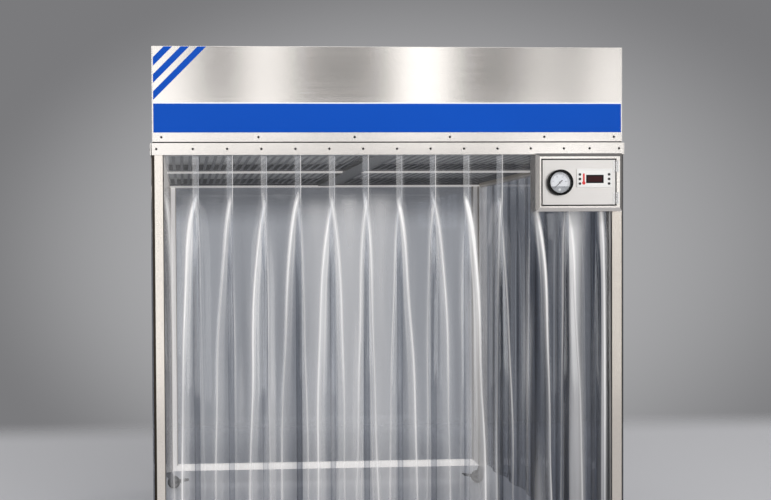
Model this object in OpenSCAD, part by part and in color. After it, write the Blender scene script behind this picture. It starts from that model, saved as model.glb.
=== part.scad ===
// Reverse laminar airflow booth: a welded square tube frame on casters, with a
// fan and filter header on top, a clear rear sheet and overlapping clear strips.
// The front faces -Y. The floor is z = 0 and the origin is the footprint's centre.

/* [Frame] */
// Width over the posts
frame_w = 2100; // [1800:10:2600]
// Depth over the posts
frame_d = 1800; // [1500:10:2200]
// Height of the frame's top above the floor
frame_h = 1982; // [1850:2:2200]
// Outside size of the square tube
tube = 50; // [40:1:60]
// Wall of the square tube
tube_wall = 2; // [1.5:0.5:4]
// Height of the posts' undersides above the floor
caster_h = 112; // [108:1:140]
// Thickness of the plate that closes each post
foot_plate_t = 4; // [3:0.5:8]

/* [Rear wall] */
// Face width of the rear stiles and of the bottom rail
stile_w = 38; // [25:1:50]
// Depth of the rear stiles and of the bottom rail
stile_d = 25; // [15:1:40]
// Thickness of the clear rear sheet
sheet_t = 4; // [3:0.5:8]
// Gap around the clear rear sheet
sheet_gap = 1; // [0.5:0.5:3]

/* [Strips] */
// Width of a strip
strip_w = 176; // [165:1:190]
// Width of the front strip beside the left post
first_strip_w = 151; // [120:1:176]
// Pitch of the front strips
strip_pitch = 150; // [140:1:160]
// Pitch of the side strips
side_pitch = 136; // [130:1:145]
// Thickness of a strip
strip_t = 2; // [1:0.5:3]
// Gap between the two layers of strips
layer_gap = 0.3; // [0.3:0.1:1]
// Gap between the front strips and the posts
strip_edge_gap = 2; // [1:1:6]
// Height of the strips' lower ends above the floor
strip_floor_gap = 115; // [113:1:160]
// How far the inner front strips bow inwards
front_bow_in = 20; // [5:1:30]
// How far the outer front strips bow outwards
front_bow_out = 12; // [4:1:16]
// How far the inner side strips bow inwards
side_bow_in = 15; // [5:1:25]
// How far the outer side strips bow outwards
side_bow_out = 3; // [1:0.5:4]
// Flat length of a strip below its clamp
flat_drop = 150; // [100:10:250]
// Length over which a strip's bow grows
bow_drop = 500; // [300:10:800]
// Height of the clamp bars
clamp_h = 52; // [40:1:60]
// Thickness of the clamp bars
clamp_t = 3; // [2:0.5:5]

/* [Header] */
// Height of the header above its gasket
header_h = 417; // [380:1:500]
// Thickness of the gasket under the header
gasket_t = 7; // [4:1:12]
// Width of the gasket under the header
gasket_w = 20; // [15:1:22]
// Distance of the gasket from the frame's outer faces
gasket_inset = 3; // [2:1:5]
// Thickness of the header's sheet metal
sheet_metal = 1.5; // [1:0.25:2]
// Distance of the fascia's ends from the frame's outer faces
fascia_inset = 8; // [5:1:20]
// Height of the screwed strip under the fascia
flange_h = 40; // [30:1:50]
// Thickness of the screwed strip under the fascia
flange_t = 3; // [2:0.5:4]
// Height of the coloured band
band_h = 127; // [80:1:160]
// Height of the pale line above the coloured band
band_line_h = 5; // [3:1:10]
// Thickness of the coloured film
film_t = 0.4; // [0.3:0.1:0.8]
// Distance of the first corner stripe from the corner
stripe_start = 47; // [20:1:80]
// Width of a corner stripe along the edge
stripe_w = 38; // [20:1:50]
// Pitch of the corner stripes along the edge
stripe_pitch = 74; // [60:1:90]
// Number of slots over each inlet filter
inlet_slots = 12; // [6:1:16]
// Width of an inlet slot
inlet_slot_w = 14; // [8:1:20]
// Radius of the cable entry in the roof
cable_r = 10.25; // [8:0.25:16]

/* [Ceiling and filters] */
// Width of the centre beam
beam_w = 100; // [80:2:140]
// Height of the centre beam
beam_h = 46; // [30:1:50]
// Width of the cross bars
cross_w = 30; // [28:1:50]
// Height of the cross bars
cross_h = 44; // [20:1:50]
// Depth of the ceiling trays below the frame's top
tray_drop = 32; // [15:1:40]
// Slots across each half of a ceiling tray
tray_slots = 12; // [6:1:14]
// Width of a slot in the ceiling trays
tray_slot_w = 24; // [10:1:30]
// Height of the main filters
filter_h = 70; // [50:1:90]
// Height of the chamber above the main filters
plenum_h = 176; // [150:1:200]
// Width of an inlet filter
inlet_filter_w = 600; // [400:10:700]
// Length of an inlet filter
inlet_filter_l = 500; // [300:10:600]
// Thickness of an inlet filter
inlet_filter_t = 25; // [15:1:30]

/* [Blowers] */
// Radius of an impeller
impeller_r = 140; // [120:1:160]
// Height of an impeller
impeller_h = 100; // [80:1:110]
// Distance of a blower from the booth's middle
blower_x = 520; // [400:10:600]
// Radius of the hole that feeds an impeller
inlet_r = 125; // [100:1:130]
// Width of the bar that carries a motor
motor_bar_w = 50; // [40:1:80]
// Radius of a motor
motor_r = 55; // [40:1:65]
// Height of a motor
motor_h = 85; // [60:1:95]
// Radius of a motor's shaft
shaft_r = 8; // [6:0.5:10]
// Number of impeller blades
blades = 7; // [5:1:9]

/* [Control box] */
// Width of the control box
box_w = 387; // [370:1:420]
// Height of the control box
box_h = 254; // [245:1:300]
// Depth of the control box
box_d = 68; // [66:1:90]
// Gap between the control box and the strips' plane
box_stand_off = 12; // [10:1:20]
// Gap between the control box and the clamp bar above it
box_drop = 3; // [2:1:20]
// Distance of the control box from the frame's right side
box_side_inset = 38; // [30:1:40]
// Wall of the control box
box_wall = 1.5; // [1:0.5:2]
// Width of the sloping rim of the control box
rim_w = 15; // [10:1:18]
// Fall of the sloping rim
rim_fall = 12; // [8:1:14]
// Width of the door
door_w = 324; // [310:1:330]
// Height of the door
door_h = 195; // [190:1:200]
// Thickness of the door
door_t = 12; // [10:1:14]
// Gap around the door
door_gap = 6; // [4:1:7]
// Width of the lip that the door's gasket lies on
door_lip = 12; // [8:1:14]
// Thickness of the door's gasket
door_gasket_t = 3.2; // [2:0.2:4]
// Height of a hinge
hinge_h = 50; // [40:1:60]
// Radius of a hinge knuckle
knuckle_r = 4.5; // [4:0.5:5.5]
// Radius of a hinge pin
hinge_pin_r = 2; // [1.5:0.25:2.5]
// Width of a hinge leaf
leaf_w = 13; // [10:1:14]
// Thickness of a hinge leaf
leaf_t = 2; // [1:0.5:2.5]

/* [Gauge and controller] */
// Radius of the gauge's bezel
bezel_r = 56; // [54:1:60]
// Height of the gauge's bezel
bezel_h = 14; // [12:1:18]
// Radius of the gauge's body behind the door
gauge_body_r = 51; // [48:1:52]
// Depth of the gauge's body behind the door's face
gauge_body_d = 40; // [25:1:44]
// Radius of the gauge's window
window_r = 46; // [42:1:48]
// Distance of the gauge's centre from the door's left edge
gauge_x = 75; // [70:1:85]
// Width of the controller's plate
plate_w = 154; // [150:1:160]
// Height of the controller's plate
plate_h = 80; // [78:1:90]
// Thickness of the controller's plate
plate_t = 4; // [4:0.5:6]
// Distance of the controller's centre from the door's left edge
plate_x = 229; // [222:1:232]
// Height of the controller's centre above the door's middle
plate_z = 18; // [0:1:40]
// Width of the controller's display
display_w = 78; // [60:1:84]
// Height of the controller's display
display_h = 36; // [28:1:40]
// Radius of a button
button_r = 5.5; // [3:0.5:6]
// Height of a button above the plate
button_rise = 1.5; // [1:0.25:3]
// Travel of a button
button_travel = 1.5; // [1:0.25:1.5]
// Distance of the buttons from the plate's middle
button_x = 65; // [62:1:68]
// Pitch of the buttons
button_pitch = 20; // [16:1:24]

/* [Casters] */
// Radius of a wheel
wheel_r = 40; // [36:1:40]
// Width of a wheel
wheel_w = 25; // [20:1:28]
// Distance of a wheel's axle from its swivel
trail = 35; // [32:1:38]
// Radius of a caster's stem
stem_r = 6; // [5:0.5:7]
// Radius of a caster's axle
axle_r = 4; // [3:0.5:5]
// Thickness of a fork's legs
leg_t = 3; // [2:0.5:4]
// Reach of a brake pedal from its axle
pedal_reach = 95; // [80:1:110]

/* [Hidden] */
$fn = 48;
touch = 0.3;
run_fit = 0.05;
flat_t = 0.01;
left_x = -frame_w / 2;
right_x = frame_w / 2;
// The gauge is the foremost point and the posts are the rearmost ones.
front_reach = box_stand_off + box_d + bezel_h;
front_y = (front_reach - frame_d) / 2;
rear_y = front_y + frame_d;
mid_y = (front_y + rear_y) / 2;
rail_z = frame_h - tube;
inner_x = frame_w / 2 - tube;
fascia_w = frame_w - 2 * fascia_inset;
header_z = frame_h + gasket_t;
top_z = header_z + header_h;
roof_z = top_z - sheet_metal;
layers_t = 2 * strip_t + layer_gap;
clamp_top = frame_h + 1;
clamp_z = clamp_top - clamp_h;
bow_z = clamp_z - flat_drop;
first_x = -inner_x + strip_edge_gap;
last_x = inner_x - strip_edge_gap;
strip_lap = strip_w - strip_pitch;
front_count = 1 + ceil((last_x - first_x - first_strip_w + strip_lap) / strip_pitch);
side_count = 2 * floor((frame_d / side_pitch) / 2) + 1;
side_step = (frame_d - strip_w) / (side_count - 1);
screw_head_r = 5.5;
screw_head_h = 2.5;
screw_shank_r = 2.4;
screw_hole_r = 2.7;
end_screw_inset = 20;
last_screw_inset = 154;
header_screw_inset = 42;
header_screw_pitch = 425;
side_screw_pitch = 300;
side_panel_lip = 30;
side_panel_inset = 2;
panel_front_lip = 12;
bay_lip = 12;
bay_gap = 1;
bay_w = inner_x - beam_w / 2;
bay_d = (frame_d - 2 * tube - cross_w) / 2;
filter_overlap = 9;
filter_rim = 25;
filter_recess = 6;
filter_z = frame_h + sheet_metal;
filter_x = inner_x + filter_overlap;
deck_z = filter_z + filter_h + plenum_h;
deck_t = 2;
impeller_gap = 6;
impeller_top = deck_z - impeller_gap;
impeller_z = impeller_top - impeller_h;
inlet_x = 480;
inlet_y = mid_y;
cable_x = 0;
cable_y = rear_y - 120;
box_right = right_x - box_side_inset;
box_left = box_right - box_w;
box_top = clamp_z - box_drop;
box_z = box_top - box_h;
box_back_y = front_y - box_stand_off;
box_front_y = box_back_y - box_d;
door_left = box_left + (box_w - door_w) / 2 - 4.5;
door_right = door_left + door_w;
door_z = box_z + (box_h - door_h) / 2 - 1;
door_top = door_z + door_h;
door_back_y = box_front_y + door_t;
lip_y = door_back_y + door_gasket_t + touch;
hinge_x = door_right + door_gap / 2;
hinge_y = box_front_y - knuckle_r;
hinge_inset = 3;
gauge_cx = door_left + gauge_x;
gauge_cz = door_z + door_h / 2 - 1;
gauge_front_y = box_front_y - bezel_h;
dial_recess = 11;
dial_t = 1;
lens_t = 1.5;
lens_inset = 2;
lens_lap = 1.7;
pointer_tip = 34;
pointer_tail = 14;
pointer_angle = 225;
zero_screw_drop = 39;
plate_cx = door_left + plate_x;
plate_cz = door_z + door_h / 2 + plate_z;
plate_front_y = box_front_y - plate_t;
button_hole_d = plate_t - touch / 2;
display_shift_x = 2;
display_shift_z = -4;
housing_w = 70;
housing_h = 28;
housing_d = 45;
stem_x = frame_w / 2 - tube / 2;
stem_front_y = front_y + tube / 2;
stem_rear_y = rear_y - tube / 2;
collar_h = 8;
crown_h = 11.5;
crown_r = 18;
crown_gap = 0.5;
crown_z = caster_h - collar_h - crown_gap - crown_h;
stem_head_h = 5;
stem_head_r = 9;
fork_gap = 2;
fork_half = wheel_w / 2 + fork_gap;
pedal_gap = 0.5;
pedal_t = 2.5;
axle_end = fork_half + leg_t + pedal_gap + pedal_t + pedal_gap;
axle_head_h = 2;

steel = [0.78, 0.77, 0.75];
dark = [0.12, 0.12, 0.13];
blue = [0.02, 0.24, 0.72];
clear = [0.75, 0.8, 0.86, 0.35];

// A block between two opposite corners
module block(low, high) {
    translate(low) cube(high - low);
}

// A round bar or hole along Y, from its front end
module rod_y(r, length, x, y, z) {
    translate([x, y, z]) rotate([-90, 0, 0]) cylinder(r = r, h = length);
}

// Both halves of something that is the same on the left and on the right
module both_sides() {
    children();
    mirror([1, 0, 0]) children();
}

// Frame

module post(side, y) {
    x = side * stem_x;
    half = tube / 2;
    color(steel) difference() {
        block([x - half, y - half, caster_h], [x + half, y + half, frame_h]);
        block([x - half + tube_wall, y - half + tube_wall, caster_h + foot_plate_t],
            [x + half - tube_wall, y + half - tube_wall, frame_h + 1]);
        translate([x, y, caster_h - 1]) cylinder(r = stem_r + touch, h = foot_plate_t + 2);
    }
}

module rail_x(y) {
    color(steel) difference() {
        block([-inner_x, y, rail_z], [inner_x, y + tube, frame_h]);
        block([-inner_x - 1, y + tube_wall, rail_z + tube_wall],
            [inner_x + 1, y + tube - tube_wall, frame_h - tube_wall]);
    }
}

module side_top_rails() {
    color(steel) both_sides() difference() {
        block([inner_x, front_y + tube, rail_z], [right_x, rear_y - tube, frame_h]);
        block([inner_x + tube_wall, front_y + tube - 1, rail_z + tube_wall],
            [right_x - tube_wall, rear_y - tube + 1, frame_h - tube_wall]);
    }
}

// Rear wall

stile_y = rear_y - sheet_t - stile_d;

module rear_bar(length, wall = tube_wall) {
    difference() {
        cube([stile_w, stile_d, length]);
        translate([wall, wall, -1]) cube([stile_w - 2 * wall, stile_d - 2 * wall, length + 2]);
    }
}

module rear_stile(side) {
    color(steel) mirror([side < 0 ? 1 : 0, 0, 0]) difference() {
        translate([inner_x - stile_w, stile_y, caster_h]) rear_bar(rail_z - caster_h);
        translate([inner_x, stile_y - 1, caster_h]) rotate([0, 45, 0])
            translate([-3 * stile_w, 0, -3 * stile_w])
                cube([6 * stile_w, stile_d + 2, 3 * stile_w]);
    }
}

module rear_bottom_rail() {
    color(steel) difference() {
        translate([-inner_x, stile_y, caster_h + stile_w]) rotate([0, 90, 0])
            rear_bar(2 * inner_x);
        both_sides() translate([inner_x, stile_y - 1, caster_h]) rotate([0, 45, 0])
            translate([-3 * stile_w, 0, 0])
                cube([6 * stile_w, stile_d + 2, 3 * stile_w]);
    }
}

module rear_sheet() {
    color(clear) block([-inner_x + sheet_gap, rear_y - sheet_t, caster_h + sheet_gap],
        [inner_x - sheet_gap, rear_y, rail_z - sheet_gap]);
}

// Header

module fascia() {
    lip = 20;
    color(steel) difference() {
        union() {
            block([-fascia_w / 2, front_y, header_z + flange_t],
                [fascia_w / 2, front_y + sheet_metal, roof_z]);
            block([-inner_x, front_y, roof_z - sheet_metal],
                [inner_x, front_y + lip, roof_z]);
        }
        header_screws(screw_hole_r, flange_t + 2 * sheet_metal);
    }
}

module stripe(start) {
    corner = [-fascia_w / 2, roof_z];
    polygon([corner - [0, start], corner + [start, 0],
        corner + [start + stripe_w, 0], corner - [0, start + stripe_w]]);
}

module fascia_film() {
    translate([0, front_y, 0]) rotate([90, 0, 0]) {
        color(blue) linear_extrude(film_t) {
            translate([-fascia_w / 2, header_z + flange_h]) square([fascia_w, band_h]);
            for (k = [0:2]) stripe(stripe_start + k * stripe_pitch);
        }
        color("white") linear_extrude(film_t)
            translate([-fascia_w / 2, header_z + flange_h + band_h])
                square([fascia_w, band_line_h]);
    }
}

header_screw_z = header_z + flange_h / 2;
header_screw_left = left_x + header_screw_inset;
header_screw_xs = [for (k = [0:4]) header_screw_left + k * header_screw_pitch,
    right_x - header_screw_inset];

// Holes or shanks of the screws along the header's lower edge
module header_screws(r, length) {
    for (x = header_screw_xs) rod_y(r, length, x, front_y - flange_t, header_screw_z);
}

module header_flange() {
    foot = 35;
    inset = 5;
    color(steel) difference() {
        union() {
            block([left_x + inset, front_y - flange_t, header_z],
                [right_x - inset, front_y, header_z + flange_h]);
            block([-inner_x, front_y - flange_t, header_z],
                [inner_x, front_y + foot, header_z + flange_t]);
        }
        header_screws(screw_hole_r, flange_t + 2 * sheet_metal);
    }
}

module header_gasket() {
    out = gasket_inset;
    into = gasket_inset + gasket_w;
    color(dark) difference() {
        block([left_x + out, front_y + out, frame_h], [right_x - out, rear_y - out, header_z]);
        block([left_x + into, front_y + into, frame_h - 1],
            [right_x - into, rear_y - into, header_z + 1]);
    }
}

module header_back_panel() {
    color(steel) {
        block([left_x + side_panel_inset, rear_y - sheet_metal, header_z],
            [right_x - side_panel_inset, rear_y, roof_z]);
        for (z = [header_z, roof_z - sheet_metal])
            block([-inner_x, rear_y - side_panel_lip, z],
                [inner_x, rear_y - sheet_metal, z + sheet_metal]);
    }
}

module header_side_panel(side) {
    out = right_x - side_panel_inset;
    start = front_y + sheet_metal;
    end = rear_y - sheet_metal;
    color(steel) mirror([side < 0 ? 1 : 0, 0, 0]) {
        block([out - sheet_metal, start, header_z], [out, end, roof_z]);
        block([out - panel_front_lip, start, header_z], [out, start + sheet_metal, roof_z]);
        for (z = [header_z, roof_z - sheet_metal])
            block([out - side_panel_lip, start, z], [out, end, z + sheet_metal]);
    }
}

guide_t = 2;
guide_lip = 15;
guide_gap = 0.5;

// One of the two rails that an inlet filter slides into
module filter_guide() {
    drop = inlet_filter_t + 1;
    web_x = inlet_filter_w / 2 + guide_gap;
    low = roof_z - drop;
    block([web_x, inlet_y - inlet_filter_l / 2, low - guide_t],
        [web_x + guide_t, inlet_y + inlet_filter_l / 2, roof_z]);
    block([web_x - guide_lip, inlet_y - inlet_filter_l / 2, low - guide_t],
        [web_x + guide_t, inlet_y + inlet_filter_l / 2, low]);
}

module header_roof() {
    out = right_x - side_panel_inset;
    slot_l = inlet_filter_l - 60;
    step = (inlet_filter_w - 80) / (inlet_slots - 1);
    color(steel) {
        difference() {
            block([-out, front_y, roof_z], [out, rear_y, top_z]);
            for (x = [-inlet_x, inlet_x], k = [0:inlet_slots - 1])
                translate([x + (k - (inlet_slots - 1) / 2) * step - inlet_slot_w / 2,
                    inlet_y - slot_l / 2, roof_z - 1])
                    cube([inlet_slot_w, slot_l, sheet_metal + 2]);
            translate([cable_x, cable_y, roof_z - 1]) cylinder(r = cable_r, h = sheet_metal + 2);
        }
        for (x = [-inlet_x, inlet_x]) translate([x, 0, 0]) both_sides() filter_guide();
    }
}

module inlet_filters() {
    color("white") for (x = [-inlet_x, inlet_x])
        block([x - inlet_filter_w / 2, inlet_y - inlet_filter_l / 2,
            roof_z - inlet_filter_t - 1],
            [x + inlet_filter_w / 2, inlet_y + inlet_filter_l / 2, roof_z - 1]);
}

// Strips and their clamps

front_clamp_y = front_y - layers_t - clamp_t;
side_clamp_x = right_x + layers_t;
clamp_mid_z = clamp_z + clamp_h / 2;
front_screw_xs = concat([left_x + end_screw_inset],
    [for (i = [1:front_count - 2]) strip_left(i) + strip_edge_gap],
    [right_x - last_screw_inset, right_x - end_screw_inset]);
side_screw_count = floor((frame_d - 2 * end_screw_inset) / side_screw_pitch);
side_screw_ys = [for (k = [0:side_screw_count]) front_y + end_screw_inset
    + k * (frame_d - 2 * end_screw_inset) / side_screw_count];

function strip_left(i) = i == 0 ? first_x
    : first_x + first_strip_w - strip_lap + (i - 1) * strip_pitch;
function strip_right(i) = i == 0 ? first_x + first_strip_w
    : min(strip_left(i) + strip_w, last_x);

// Share of the full bow at a height
function bow_share(z) = let (s = min(1, max(0, (bow_z - z) / bow_drop))) s * s * (3 - 2 * s);

// Heights at which a strip has a row of points, from its top to its lower end
strip_zs = concat([clamp_top], [for (k = [0:4]) bow_z - k * bow_drop / 4],
    [(bow_z - bow_drop + strip_floor_gap) / 2, strip_floor_gap]);

// A strip that spans x, with its back at y = offset and its front towards -Y.
// A positive bow swells towards -Y.
module strip(x0, x1, offset, bow, columns) {
    rows = len(strip_zs);
    wide = columns + 1;
    function at(c) = x0 + (x1 - x0) * c / columns;
    function swell(c, z) = bow * bow_share(z) * (1 - pow(2 * c / columns - 1, 2));
    face = [for (z = strip_zs, c = [0:columns]) [at(c), -offset - swell(c, z), z]];
    points = concat(face, [for (p = face) p - [0, strip_t, 0]]);
    back = 0;
    front = len(face);
    quads = concat(
        [for (j = [0:rows - 2], c = [0:columns - 1])
            [j * wide + c, j * wide + c + 1, (j + 1) * wide + c + 1, (j + 1) * wide + c]],
        [for (j = [0:rows - 2], c = [0:columns - 1])
            [for (i = [(j + 1) * wide + c, (j + 1) * wide + c + 1, j * wide + c + 1,
                j * wide + c]) i + front]],
        [for (j = [0:rows - 2])
            [j * wide, (j + 1) * wide, (j + 1) * wide + front, j * wide + front]],
        [for (j = [0:rows - 2])
            [j * wide + columns + front, (j + 1) * wide + columns + front,
                (j + 1) * wide + columns, j * wide + columns]],
        [for (c = [0:columns - 1]) [c + front, c + 1 + front, c + 1, c]],
        [for (c = [0:columns - 1]) let (e = (rows - 1) * wide + c)
            [e, e + 1, e + 1 + front, e + front]]);
    triangles = [for (q = quads) each [[q[0], q[1], q[2]], [q[0], q[2], q[3]]]];
    polyhedron(points, triangles);
}

module front_strips() {
    color(clear) translate([0, front_y, 0]) for (i = [0:front_count - 1]) {
        outer = i % 2;
        strip(strip_left(i), strip_right(i), outer * (strip_t + layer_gap),
            outer == 1 ? front_bow_out : -front_bow_in, 8);
    }
}

// The strips of the right side, which mirror to the left
module side_strip_set() {
    translate([right_x, 0, 0]) rotate([0, 0, 90]) for (i = [0:side_count - 1]) {
        outer = 1 - i % 2;
        start = front_y + i * side_step;
        strip(start, start + strip_w, outer * (strip_t + layer_gap),
            outer == 1 ? side_bow_out : -side_bow_in, 6);
    }
}

module side_strips() {
    color(clear) both_sides() side_strip_set();
}

module front_clamp() {
    difference() {
        union() {
            block([left_x, front_clamp_y, clamp_z], [right_x, front_y - layers_t, clamp_top]);
            both_sides() block([inner_x + strip_edge_gap, front_y - layers_t, clamp_z],
                [right_x, front_y, clamp_top - 1]);
        }
        for (x = front_screw_xs) rod_y(screw_hole_r, clamp_t, x, front_clamp_y, clamp_mid_z);
    }
}

module side_clamp() {
    difference() {
        block([side_clamp_x, front_y, clamp_z], [side_clamp_x + clamp_t, rear_y, clamp_top]);
        for (y = side_screw_ys) translate([side_clamp_x - 1, y, clamp_mid_z])
            rotate([0, 90, 0]) cylinder(r = screw_hole_r, h = clamp_t + 2);
    }
}

module curtain_clamps() {
    color(steel) {
        front_clamp();
        both_sides() side_clamp();
    }
}

// A screw whose head lies on the plane y = 0 and points to -Y
module screw(length) {
    rotate([90, 0, 0]) {
        difference() {
            cylinder(r1 = screw_head_r, r2 = screw_head_r - 1, h = screw_head_h);
            translate([0, 0, screw_head_h - 1]) cylinder(r = 1.5, h = 2);
        }
        translate([0, 0, -length]) cylinder(r = screw_shank_r, h = length + flat_t);
    }
}

module cover_screws() {
    shank = clamp_t - touch;
    color("silver") {
        for (x = front_screw_xs) translate([x, front_clamp_y, clamp_mid_z]) screw(shank);
        for (x = header_screw_xs) translate([x, front_y - flange_t, header_screw_z])
            screw(flange_t + sheet_metal);
        both_sides() for (y = side_screw_ys)
            translate([side_clamp_x + clamp_t, y, clamp_mid_z]) rotate([0, 0, 90]) screw(shank);
    }
}

// Ceiling, filters and blowers

module centre_beam() {
    color(steel) difference() {
        block([-beam_w / 2, front_y + tube, frame_h - beam_h],
            [beam_w / 2, rear_y - tube, frame_h]);
        block([-beam_w / 2 + tube_wall, front_y + tube - 1, frame_h - beam_h + tube_wall],
            [beam_w / 2 - tube_wall, rear_y - tube + 1, frame_h - tube_wall]);
    }
}

module cross_bars() {
    half = cross_w / 2;
    color(steel) both_sides() difference() {
        block([beam_w / 2, mid_y - half, frame_h - cross_h], [inner_x, mid_y + half, frame_h]);
        block([beam_w / 2 - 1, mid_y - half + tube_wall, frame_h - cross_h + tube_wall],
            [inner_x + 1, mid_y + half - tube_wall, frame_h - tube_wall]);
    }
}

// A ceiling tray in the bay whose lowest corner is at x, y
module ceiling_tray(x, y) {
    low = frame_h - tray_drop;
    a = [x + bay_gap, y + bay_gap];
    b = [x + bay_w - bay_gap, y + bay_d - bay_gap];
    half = (b[0] - a[0]) / 2;
    step = half / tray_slots;
    difference() {
        union() {
            block([a[0], a[1], low], [b[0], b[1], frame_h + sheet_metal]);
            block([a[0] - bay_lip, a[1] - bay_lip, frame_h],
                [b[0] + bay_lip, b[1] + bay_lip, frame_h + sheet_metal]);
        }
        block([a[0] + sheet_metal, a[1] + sheet_metal, low + sheet_metal],
            [b[0] - sheet_metal, b[1] - sheet_metal, frame_h + 10]);
        for (k = [0:2 * tray_slots - 1])
            translate([a[0] + (k + 0.5) * step - tray_slot_w / 2, a[1] + 40, low - 1])
                cube([tray_slot_w, b[1] - a[1] - 80, sheet_metal + 2]);
    }
}

module ceiling_trays() {
    color("gray") for (x = [-inner_x, beam_w / 2], y = [front_y + tube, mid_y + cross_w / 2])
        ceiling_tray(x, y);
}

module main_filter(x, y) {
    a = [x - filter_overlap, y - filter_overlap];
    b = [x + bay_w + filter_overlap, y + bay_d + filter_overlap];
    difference() {
        block([a[0], a[1], filter_z], [b[0], b[1], filter_z + filter_h]);
        for (z = [filter_z - filter_recess, filter_z + filter_h - filter_recess])
            block([a[0] + filter_rim, a[1] + filter_rim, z],
                [b[0] - filter_rim, b[1] - filter_rim, z + 2 * filter_recess]);
    }
}

module main_filters() {
    color("white") for (x = [-inner_x, beam_w / 2], y = [front_y + tube, mid_y + cross_w / 2])
        main_filter(x, y);
}

module fan_deck() {
    out_x = filter_x;
    low_y = front_y + tube - filter_overlap;
    high_y = rear_y - tube + filter_overlap;
    foot_z = filter_z + filter_h;
    color(steel) difference() {
        block([-out_x, low_y, foot_z], [out_x, high_y, deck_z + deck_t]);
        block([-out_x + deck_t, low_y + deck_t, foot_z - 1],
            [out_x - deck_t, high_y - deck_t, deck_z]);
        for (x = [-blower_x, blower_x]) translate([x, mid_y, deck_z - 1]) {
            difference() {
                cylinder(r = inlet_r, h = deck_t + 2);
                translate([-inlet_r - 1, -motor_bar_w / 2, -1])
                    cube([2 * inlet_r + 2, motor_bar_w, deck_t + 4]);
            }
            cylinder(r = shaft_r + 1, h = deck_t + 2);
        }
    }
}

hub_r = 22;
hub_wall = 3;
plate_disc_t = 3;

module blower_motors() {
    color("gray") for (x = [-blower_x, blower_x]) translate([x, mid_y, deck_z + deck_t]) {
        cylinder(r = motor_r, h = motor_h);
        translate([0, 0, impeller_z + hub_wall - deck_z - deck_t])
            cylinder(r = shaft_r, h = deck_z + deck_t - impeller_z - hub_wall + 1);
    }
}

module impeller(x) {
    blade_in = impeller_r / 2;
    blade_l = impeller_r * 0.54;
    color("silver") translate([x, mid_y, impeller_z]) difference() {
        union() {
            cylinder(r = impeller_r, h = plate_disc_t);
            cylinder(r = hub_r, h = impeller_h);
            translate([0, 0, impeller_h - plate_disc_t]) difference() {
                cylinder(r = impeller_r, h = plate_disc_t);
                translate([0, 0, -1]) cylinder(r = impeller_r * 0.7, h = plate_disc_t + 2);
            }
            for (k = [0:blades - 1]) rotate([0, 0, k * 360 / blades])
                translate([blade_in, 0, plate_disc_t / 2]) rotate([0, 0, -40])
                    cube([blade_l, 2, impeller_h - plate_disc_t]);
        }
        translate([0, 0, hub_wall]) cylinder(r = shaft_r + run_fit, h = impeller_h);
    }
}

// Control box

// The control box's outline with its four front edges cut to the sloping rim
module rim_cut() {
    slope = atan(rim_fall / rim_w);
    big = box_w + box_h;
    for (edge = [[box_left, 0, 1], [box_right, 0, -1]])
        translate([edge[0] + edge[2] * rim_w, box_front_y, box_z - 1])
            rotate([0, 0, edge[2] * -slope])
                translate([edge[2] > 0 ? -big : 0, -big, 0]) cube([big, big, box_h + 2]);
    for (edge = [[box_z, 1], [box_top, -1]])
        translate([box_left - 1, box_front_y, edge[0] + edge[1] * rim_w])
            rotate([edge[1] * slope, 0, 0])
                translate([0, -big, edge[1] > 0 ? -big : 0]) cube([box_w + 2, big, big]);
}

module door_hole(grow, y0, y1) {
    block([door_left - grow, y0, door_z - grow], [door_right + grow, y1, door_top + grow]);
}

module control_box() {
    color(steel) {
        difference() {
            block([box_left, box_front_y, box_z], [box_right, box_back_y, box_top]);
            rim_cut();
            door_hole(door_gap, box_front_y - 1, lip_y);
            door_hole(-door_lip, box_front_y, lip_y + box_wall + 1);
            block([box_left + box_wall, lip_y + box_wall, box_z + box_wall],
                [box_right - box_wall, box_back_y - box_wall, box_top - box_wall]);
        }
        block([box_right - box_wall, box_back_y - box_wall, box_z],
            [box_right, front_y, box_top]);
        block([box_right - box_wall, front_y - 2, box_z], [right_x - 5, front_y, box_top]);
    }
}

module door_gasket() {
    color(dark) difference() {
        door_hole(door_gap - touch, lip_y - door_gasket_t, lip_y);
        door_hole(-door_lip, lip_y - door_gasket_t - 1, lip_y + 1);
    }
}

module control_box_door() {
    skin = 1.5;
    color(steel) difference() {
        door_hole(0, box_front_y, door_back_y);
        door_hole(-10, box_front_y + skin, door_back_y + 1);
        rod_y(gauge_body_r + touch, door_t, gauge_cx, box_front_y - 1, gauge_cz);
        block([plate_cx - housing_w / 2 - touch, box_front_y - 1, plate_cz - housing_h / 2 - touch],
            [plate_cx + housing_w / 2 + touch, door_back_y, plate_cz + housing_h / 2 + touch]);
    }
}

knuckle_gap = 0.5;
knuckle_h = (hinge_h - 2 * knuckle_gap) / 3;
hinge_zs = [door_z + hinge_inset, door_top - hinge_inset - hinge_h];

module knuckle(z, h, r) {
    translate([hinge_x, hinge_y, z]) cylinder(r = r, h = h);
}

module box_hinge_leaves() {
    color("silver") for (z = hinge_zs) {
        for (k = [0, 2]) {
            z0 = z + k * (knuckle_h + knuckle_gap);
            knuckle(z0, knuckle_h, knuckle_r);
            block([hinge_x, box_front_y - leaf_t, z0],
                [hinge_x + leaf_w, box_front_y, z0 + knuckle_h]);
        }
        block([hinge_x + knuckle_r + knuckle_gap, box_front_y - leaf_t, z],
            [hinge_x + leaf_w, box_front_y, z + hinge_h]);
        knuckle(z + 1, hinge_h - 2, hinge_pin_r);
    }
}

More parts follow.
